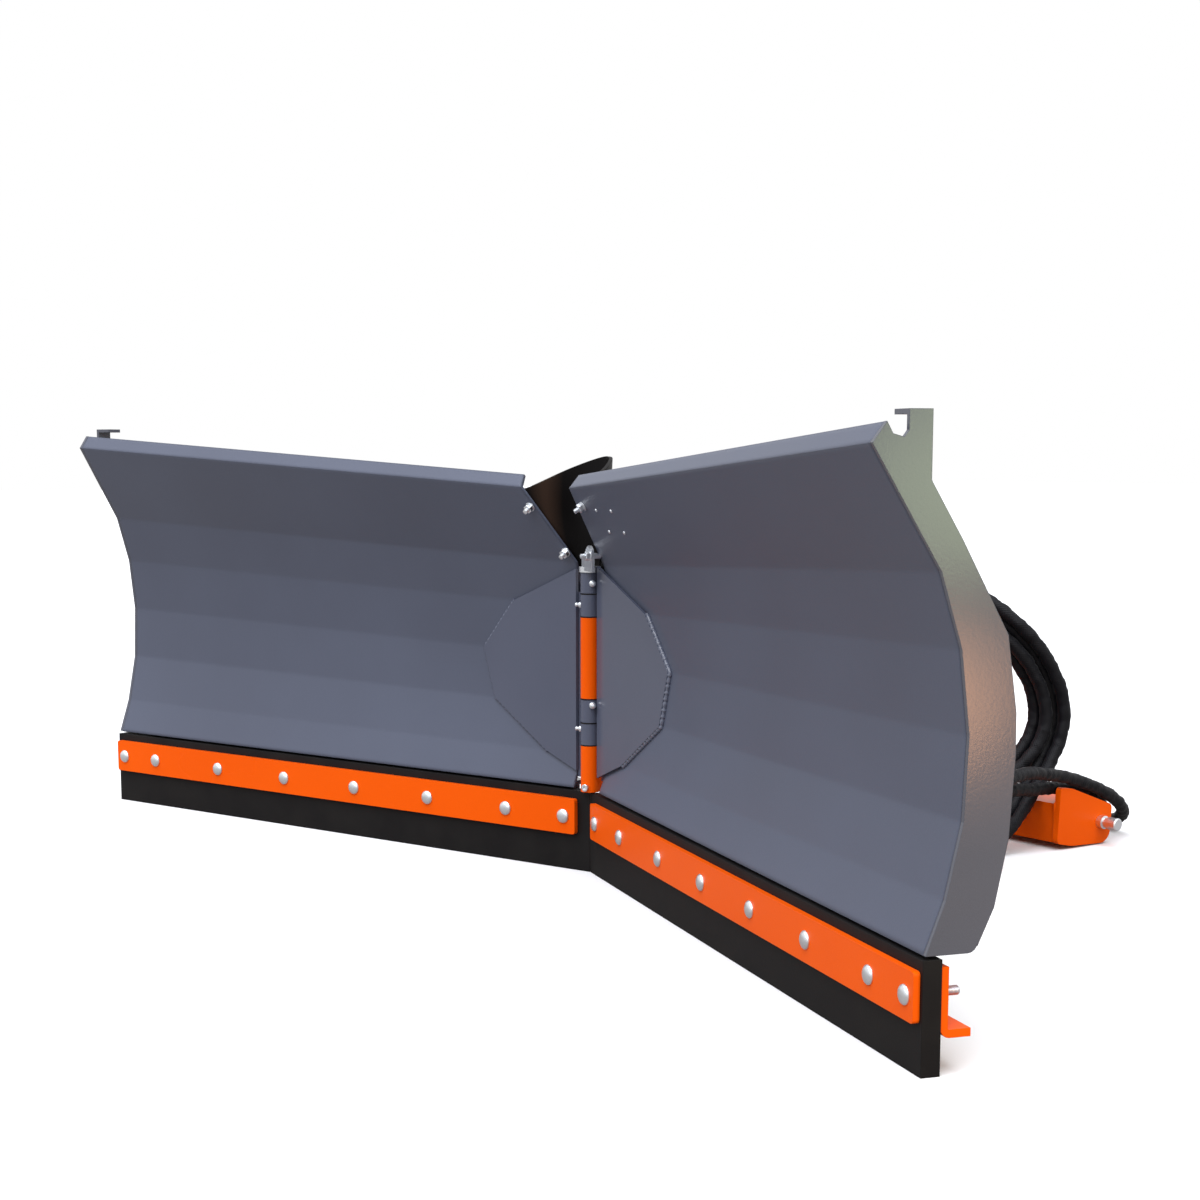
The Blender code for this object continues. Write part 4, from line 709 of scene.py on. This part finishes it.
# %% Helpers for hardware
def disc(name, sides, radius, height, fill="NGON"):
    """A disc at this height, open in edit mode and selected."""
    nothing_selected()
    bpy.ops.mesh.primitive_circle_add(vertices=sides, radius=radius, fill_type=fill)
    made = bpy.context.object
    made.name = name
    bpy.ops.object.mode_set(mode="EDIT")
    bpy.ops.mesh.select_all(action="SELECT")
    bpy.ops.transform.translate(value=(0, 0, height))
    return made


def turned_part(name, rings, sides=28, hollow=False):
    """A piece turned about Z. Rings are (radius, height) from end to end, or once round a hollow section."""
    radius, height = rings[0]
    made = disc(name, sides, radius, height, "NOTHING" if hollow else "NGON")
    for wide, high in rings[1:] + (rings[:1] if hollow else []):
        bpy.ops.mesh.extrude_region_move(TRANSFORM_OT_translate={"value": (0, 0, high - height)})
        bpy.ops.transform.resize(value=(wide / radius, wide / radius, 1), center_override=(0, 0, high))
        radius, height = wide, high
    bpy.ops.mesh.select_all(action="SELECT")
    bpy.ops.mesh.remove_doubles(threshold=0.00001)
    faces_outward()
    bpy.ops.object.shade_smooth_by_angle(angle=math.radians(35))
    return made


def merged(parts, name):
    """Join parts into one piece, with its place in its mesh."""
    nothing_selected()
    for part in parts:
        part.select_set(True)
    bpy.context.view_layer.objects.active = parts[0]
    if len(parts) > 1:
        bpy.ops.object.join()
    made = bpy.context.object
    bpy.ops.object.transform_apply(location=True, rotation=True, scale=True)
    made.name = name
    return made


def laid_out(part, places, name):
    """One copy of the part at each place, joined. The part itself goes."""
    copies = []
    for place in places:
        copy = part.copy()
        copy.data = part.data.copy()
        bpy.context.scene.collection.objects.link(copy)
        copy.matrix_world = place
        copies.append(copy)
    bpy.data.objects.remove(part)
    return merged(copies, name)


def fixed(piece, finish, body):
    """Give a piece its finish, and fix it to the body that it moves with."""
    piece.data.materials.clear()
    piece.data.materials.append(finish)
    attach(piece, body)
    print(piece.name, len(piece.data.polygons), "faces, on", body)


def plated(piece, body):
    fixed(piece, ZINC_PLATE, body)


print("ready to turn, copy, join and fix hardware")

# %% [markdown]
# ## Bolts along the edge
#
# Eight carriage bolts a wing hold the orange strip, the rubber and the angle together. From the front only
# the low domes show. Behind, each has a washer and a hexagon nut with a few threads standing out of it. The
# outermost bolt is a bare threaded end, because the cheek leaves no room for a spanner.

# %% Edge bolts
BOLT_PLACES = (0.0425, 0.1474, 0.2978, 0.4474, 0.5987, 0.7502, 0.9011, 0.9782)
BOLT_HEIGHT = 0.0755
STRIP_FRONT, CARRIER_BACK, ANGLE_BACK = -0.0073, 0.0347, 0.0284
# across its flats, height, radius of the stud, and how far the stud reaches
EDGE_NUT = (0.0130, 0.0075, 0.0039, 0.0165)
DOME = [
    (0.0102, 0.0), (0.0103, 0.0007), (0.0099, 0.0017), (0.0088, 0.0029), (0.0070, 0.0039), (0.0047, 0.0045),
    (0.0024, 0.0048), (0.0005, 0.0049),
]


def thread(start, end, radius, pitch):
    """Rings that run up and down between the crest and the root of a thread."""
    root = radius * 0.86
    rings = [(root, start)]
    for i in range(int((end - start) / pitch)):
        base = start + i * pitch
        rings += [(root, base + 0.15 * pitch), (radius, base + 0.45 * pitch), (radius, base + 0.60 * pitch)]
    rings += [(radius * 0.84, end - 0.0003), (radius * 0.70, end)]
    return rings


def hexagon(name, across, height, base=0.0):
    """A hexagon with its corners turned off at the outer end."""
    made = disc(name, 6, across / math.sqrt(3), base)
    bpy.ops.mesh.extrude_region_move(TRANSFORM_OT_translate={"value": (0, 0, height * 0.92)})
    bpy.ops.mesh.extrude_region_move(TRANSFORM_OT_translate={"value": (0, 0, height * 0.08)})
    bpy.ops.transform.resize(value=(0.90, 0.90, 1), center_override=(0, 0, base + height))
    faces_outward()
    rim = made.modifiers.new("rim", "BEVEL")
    rim.width = across * 0.02
    rim.segments = 2
    bpy.ops.object.modifier_apply(modifier=rim.name)
    return made


def nut_on_stud(name, across, height, stud, reach):
    """Washer, hexagon nut and a threaded end that stands out this far from the face."""
    wide = across * 0.62
    washer = turned_part("washer", [(wide, 0.0), (wide, height * 0.22), (wide * 0.94, height * 0.28)])
    nut = hexagon("nut", across, height, height * 0.28)
    end = turned_part("thread", thread(height, reach, stud, stud * 0.25), 20)
    return merged([washer, nut, end], name)


WINGS = ((-1, "left"), (1, "right"))
for side, name in WINGS:
    places = [facing_front(side, along, STRIP_FRONT, BOLT_HEIGHT) for along in BOLT_PLACES]
    plated(laid_out(turned_part("dome", DOME), places, name + "_edge_bolts"), name + "_wing")
    places = [facing_back(side, along, CARRIER_BACK, BOLT_HEIGHT) for along in BOLT_PLACES[:-1]]
    plated(laid_out(nut_on_stud("nut", *EDGE_NUT), places, name + "_edge_nuts"), name + "_wing")
    bare = turned_part("bare", thread(0.0, 0.0205, 0.0048, 0.0015), 20)
    places = [facing_back(side, BOLT_PLACES[-1], ANGLE_BACK, BOLT_HEIGHT)]
    plated(laid_out(bare, places, name + "_bare_bolt"), name + "_wing")

# %% [markdown]
# ## Bolts that hold the flap
#
# Two small bolts a wing clamp the rubber flap behind the sheet, with their nuts to the front. On the right
# wing the lower one also goes through the hinge pin's flag, and so keeps the pin from turning. Four small
# rivets sit in a square by the right wing's upper corner.

# %% Flap bolts and rivets
FLAP_BOLTS = {"left": ((0.0735, 0.5050), (0.0412, 0.4430)), "right": ((0.0935, 0.5085),)}
FLAP_NUT = (0.0112, 0.0062, 0.0033, 0.0145)
FLAG_NUT = (0.0400, -0.0121, 0.4405)
FLAG_SHANK = (0.0400, -0.0084, 0.4405)
RIVET = [(0.0026, 0.0), (0.0025, 0.0006), (0.0019, 0.0012), (0.0008, 0.0015)]
RIVET_PLACES = ((0.135, 0.504), (0.192, 0.5045), (0.138, 0.4765), (0.194, 0.477))
for side, name in WINGS:
    fronts, backs = [], []
    for along, height in FLAP_BOLTS[name]:
        back, lean = sheet_back(along, height)
        slant = math.cos(math.radians(lean))
        fronts.append(facing_front(side, along, back - 0.0002, height, lean))
        backs.append(facing_back(side, along, back + (SHEET + FLAP + 0.0034) / slant, height, lean))
    if name == "right":
        fronts.append(facing_front(side, *FLAG_NUT))
    plated(laid_out(nut_on_stud("nut", *FLAP_NUT), fronts, name + "_flap_nuts"), name + "_wing")
    heads = laid_out(hexagon("head", FLAP_NUT[0], 0.0045), backs, name + "_flap_bolt_heads")
    plated(heads, name + "_wing")
shank = turned_part("shank", [(0.0039, 0.0), (0.0039, 0.0100)], 20)
plated(laid_out(shank, [facing_back(1, *FLAG_SHANK)], "flag_bolt"), "right_wing")
places = []
for along, height in RIVET_PLACES:
    back, lean = sheet_back(along, height)
    places.append(facing_front(1, along, back, height, lean))
plated(laid_out(turned_part("rivet", RIVET, 16), places, "rivets"), "right_wing")

# %% [markdown]
# ## Grease nipples and a lock screw
#
# Every wing knuckle has a grease nipple: a small collar, a waist, and a ball for the grease gun. A socket
# screw in the lowest frame knuckle locks the pin.

# %% Grease nipples and lock screw
NIPPLE = [
    (0.0030, 0.0), (0.0046, 0.0004), (0.0046, 0.0042), (0.0040, 0.0046), (0.0022, 0.0060), (0.0020, 0.0072),
    (0.0031, 0.0086), (0.0033, 0.0096), (0.0029, 0.0108), (0.0012, 0.0115),
]
SOCKET = [
    (0.0048, 0.0), (0.0050, 0.0004), (0.0050, 0.0046), (0.0044, 0.0052), (0.0027, 0.0052), (0.0025, 0.0022),
]
UP = Vector((0, 0, 1))
KNUCKLE = 0.0130
NIPPLE_HEIGHTS = {"left": (0.200, 0.3715), "right": (0.235, 0.402)}
SCREW_HEIGHT = 0.1205
for side, name in WINGS:
    heading = Vector((side * 0.926, -0.376, 0))
    foot = heading * (KNUCKLE - 0.001)
    places = [pointing(foot + height * UP, heading) for height in NIPPLE_HEIGHTS[name]]
    plated(laid_out(turned_part("nipple", NIPPLE, 12), places, name + "_grease_nipples"), name + "_wing")
heading = Vector((0.447, -0.894, 0))
place = [pointing(heading * (KNUCKLE - 0.0012) + SCREW_HEIGHT * UP, heading)]
plated(laid_out(turned_part("socket", SOCKET, 24), place, "lock_screw"), "frame")

# %% [markdown]
# ## Hose ends
#
# Where a hose meets its elbow there is a crimped ferrule and a swivel nut, and where the elbow screws into
# the port there is one more hexagon. They all ride on the barrel.

# %% Ferrules and fitting nuts
FERRULE = [
    (0.0090, -0.0060), (0.0116, -0.0050), (0.0116, 0.0030), (0.0108, 0.0040), (0.0108, 0.0052),
    (0.0116, 0.0062), (0.0116, 0.0220), (0.0110, 0.0235), (0.0103, 0.0240),
]
# how far behind the hose's end the swivel nut and the elbow's bend lie, and how high the port is
SWIVEL_BACK, ELBOW_BACK, PORT_HEIGHT = 0.0170, 0.0283, 0.2970
for name, points in HOSE_POINTS.items():
    side = name.split("_")[0]
    start, heading = Vector(points[0]), (Vector(points[1]) - Vector(points[0])).normalized()
    ferrule = laid_out(turned_part("ferrule", FERRULE, 24), [pointing(start, heading)], "ferrule")
    place = [pointing(start - heading * SWIVEL_BACK, heading)]
    swivel = laid_out(hexagon("swivel", 0.0220, 0.0110), place, "swivel")
    root = start - heading * ELBOW_BACK
    place = [pointing((root.x, root.y, PORT_HEIGHT), UP)]
    base = laid_out(hexagon("base", 0.0225, 0.0090), place, "base")
    plated(merged([ferrule, swivel, base], name.replace("hose", "fitting")), side + "_barrel")

# %% [markdown]
# ## Cylinder ends
#
# A gland nut closes the open end of each barrel. It is a ring with the rod running through it, and a soft
# wiper sits in its mouth to keep grit out. Both are hollow, so their section is extruded once round. Every
# pivot pin is greased through a nipple in its head.

# %% Gland nuts, wipers and pin nipples
CYLINDER_BASE = (0.080, 0.500, 0.260)
CYLINDER_TIP = (0.180, 0.115, 0.260)
BARREL_END = 0.2853
PIN_HEADS = (0.0462, 0.0344)
GLAND = [
    (0.0148, 0.0), (0.0190, 0.0), (0.0194, 0.0005), (0.0194, 0.0060), (0.0186, 0.0072), (0.0168, 0.0072),
    (0.0164, 0.0086), (0.0148, 0.0086),
]
WIPER = [(0.0129, 0.0010), (0.0146, 0.0010), (0.0146, 0.0088), (0.0138, 0.0100), (0.0130, 0.0094)]
for side, name in WINGS:
    base = Vector((side * CYLINDER_BASE[0], *CYLINDER_BASE[1:]))
    tip = on_wing(side, *CYLINDER_TIP) - PIN
    heading = (tip - base).normalized()
    end = [pointing(base + heading * BARREL_END, heading)]
    plated(laid_out(turned_part("gland", GLAND, 40, True), end, name + "_gland_nut"), name + "_barrel")
    wiper = laid_out(turned_part("wiper", WIPER, 40, True), end, name + "_rod_wiper")
    fixed(wiper, EDGE_RUBBER, name + "_barrel")
    for pivot, rise, body in zip((base, tip), PIN_HEADS, ("_barrel", "_rod")):
        top = [pointing(pivot + rise * UP, UP)]
        plated(laid_out(turned_part("nipple", NIPPLE, 12), top, name + body + "_pin_nipple"), name + body)

# %% [markdown]
# ## Thrust washers, black as painted shade
#
# The knuckles of the hinge don't rub on each other, because a thin washer lies in the gap between them. The
# washers are black rubber and a hair wider than the knuckles, a painted shade for the dark seam that the gap
# shows round the hinge.

# %% Thrust washers of the hinge
SEAM = 0.0016
WASHER_HEIGHTS = {"left": (0.1781, 0.2088, 0.3551, 0.3863), "right": (0.2418,)}
WASHER = [(0.0126, 0.0), (0.0132, 0.0), (0.0132, SEAM), (0.0126, SEAM)]
for name, heights in WASHER_HEIGHTS.items():
    places = [pointing(height * UP, UP) for height in heights]
    seam_shade_washers = laid_out(turned_part("washer", WASHER, 40, True), places, name + "_thrust_washers")
    # black rubber finish on the washers: painted shade of the gaps between the knuckles
    fixed(seam_shade_washers, EDGE_RUBBER, name + "_wing")

# %% [markdown]
# ## Couplers
#
# Each hose ends in a quick coupler. A ribbed sleeve on it slides back to let go. The ribs are in the section
# that is turned, so they run all the way round, as on a lathe.

# %% Ribbed sleeves of the couplers
COUPLER = 0.062
GRIP_AT = 0.527
RIB_PITCH = 0.0021
GRIP = [(0.0098, 0.0)]
for i in range(5):
    foot = RIB_PITCH * i
    GRIP += [(0.0103, foot + 0.0004), (0.0103, foot + 0.0013), (0.0099, foot + 0.0018)]
GRIP += [(0.0098, 0.0106)]
for name, points in HOSE_POINTS.items():
    end = Vector(points[-1])
    heading = end - Vector(points[-2])
    heading = Vector((heading.x, heading.y, 0)).normalized()
    place = [pointing(end + heading * COUPLER * GRIP_AT, heading)]
    grip = turned_part("grip", GRIP, 32, True)
    plated(laid_out(grip, place, name.replace("hose", "coupler_sleeve")), "frame")

# %% [markdown]
# ## Weld beads
#
# The plates are joined by fillet welds. A bead is a thin tube along the seam with a ripple every few
# millimetres, where the puddle froze, and it is painted over with whatever it joins.

# %% Helpers for weld beads
def even_steps(points, step):
    """Points about a step apart on straight runs between the given ones."""
    found = [points[0]]
    for a, b in zip(points, points[1:]):
        count = max(1, round((b - a).length / step))
        found += [a.lerp(b, i / count) for i in range(1, count + 1)]
    return found


def ripple(along):
    """The even swelling of a bead, every 4.5 mm."""
    return 0.90 + 0.08 * math.sin(along * 1400) + 0.05 * math.sin(along * 411)


def lumps(along):
    """The uneven swelling of a bead that was laid by hand, every 5 to 8 mm."""
    return 0.92 + 0.17 * math.sin(along * 760) + 0.10 * math.sin(along * 1290 + 1.0)


def weld(seams, name, finish, body, radius=0.0026, swell=ripple):
    """A bead along each seam, joined into one piece."""
    beads = [tube_on("bead", even_steps(seam, 0.0015), radius, swell, 2) for seam in seams]
    fixed(merged(beads, name), finish, body)


print("a bead swells to", round(max(ripple(i * 0.0005) for i in range(200)), 2), "of its radius")

# %% [markdown]
# ## Welds on the wings
#
# The half-moon plate is welded to the folded sheet where the two cross, with a thick and lumpy bead. Thin and
# even beads hold the ribs to the sheet's back, and they follow its folds. Both are in a paler grey than the
# sheet, a painted highlight.

# %% Welds on the wings
DEFLECTOR_START = {"left": 0.0290, "right": 0.0160}
# the plate slopes back this much along the wing, from here at the pin, and its bead from a little in front
DEFLECTOR_SLOPE, DEFLECTOR_BACK, BEAD_BACK = 0.14, 0.00735, 0.0060
RIB_SIDES = (0.1168, 0.1232, 0.2368, 0.2432, 0.5968, 0.6032, 0.9945)
RIB_HEIGHTS = [0.125 + 0.0375 * i for i in range(10)]
BEAD_CLEAR = 0.0012


def deflector_edge(name):
    """Distance from the pin and height of the points where the half-moon plate meets the folded sheet."""
    edge = []
    for (y0, z0), (y1, z1) in zip(profile(SIZE_AT_PIN), profile(1.0)):
        along = (y0 - DEFLECTOR_BACK) / (DEFLECTOR_SLOPE - (y1 - y0))
        if along > DEFLECTOR_START[name]:
            edge.append((along, z0 + (z1 - z0) * along))
    return edge


for side, name in WINGS:
    edge = deflector_edge(name)
    seam = [on_wing(side, along, BEAD_BACK + DEFLECTOR_SLOPE * along, height) for along, height in edge]
    weld([seam], name + "_deflector_weld", HIGHLIGHT_BEAD_COAT, name + "_wing", 0.0036, lumps)
    seams = []
    for along in RIB_SIDES:
        seam = []
        for height in RIB_HEIGHTS:
            back, lean = sheet_back(along, height)
            back += (SHEET + BEAD_CLEAR) / math.cos(math.radians(lean))
            seam.append(on_wing(side, along, back, height))
        seams.append(seam)
    weld(seams, name + "_rib_welds", HIGHLIGHT_BEAD_COAT, name + "_wing")

# %% [markdown]
# ## Welds on the frame
#
# The frame is a weldment of tubes and plates. Its beads are orange, because the whole of it is painted after
# it is welded. The seams are listed joint by joint, and the sides are made in one loop.

# %% Welds on the frame
def seam_line(*points):
    return [PIN + Vector(point) for point in points]


def seam_round(half, height, front=0.6500, back=0.7103):
    """Once round the mast."""
    corners = ((-half, front), (half, front), (half, back), (-half, back), (-half, front))
    return seam_line(*((x, y, height) for x, y in corners))


SEAMS = []
# both ends of the main beam
for half, y in ((0.030, 0.1255), (0.035, 0.6495)):
    for z in (0.2905, 0.2295):
        SEAMS.append(seam_line((-half, y, z), (half, y, z)))
# the mast's foot, and the top clevis on its head
SEAMS += [seam_round(0.0353, 0.0686), seam_round(0.0335, 0.3004)]
for side in (-1, 1):
    # a brace's foot and head, the cylinder plates, a lug, and the webs of the hinge post
    for y in (0.6745, 0.6855):
        SEAMS.append(seam_line((side * 0.086, y, 0.0687), (side * 0.129, y, 0.0687)))
        SEAMS.append(seam_line((side * 0.0356, y, 0.186), (side * 0.0356, y, 0.252)))
    for z in (0.2897, 0.2303):
        SEAMS.append(seam_line((side * 0.0404, 0.468, z), (side * 0.0404, 0.532, z)))
    lug = side * 0.2617
    SEAMS.append(seam_line((lug, 0.6496, 0.014), (lug, 0.6496, 0.0685), (lug, 0.7285, 0.0685)))
    for low, high in ((0.115, 0.177), (0.245, 0.353)):
        SEAMS.append(seam_line((side * 0.0053, 0.0747, low), (side * 0.0053, 0.0747, high)))
weld(SEAMS, "frame_welds", ORANGE_COAT, "frame")
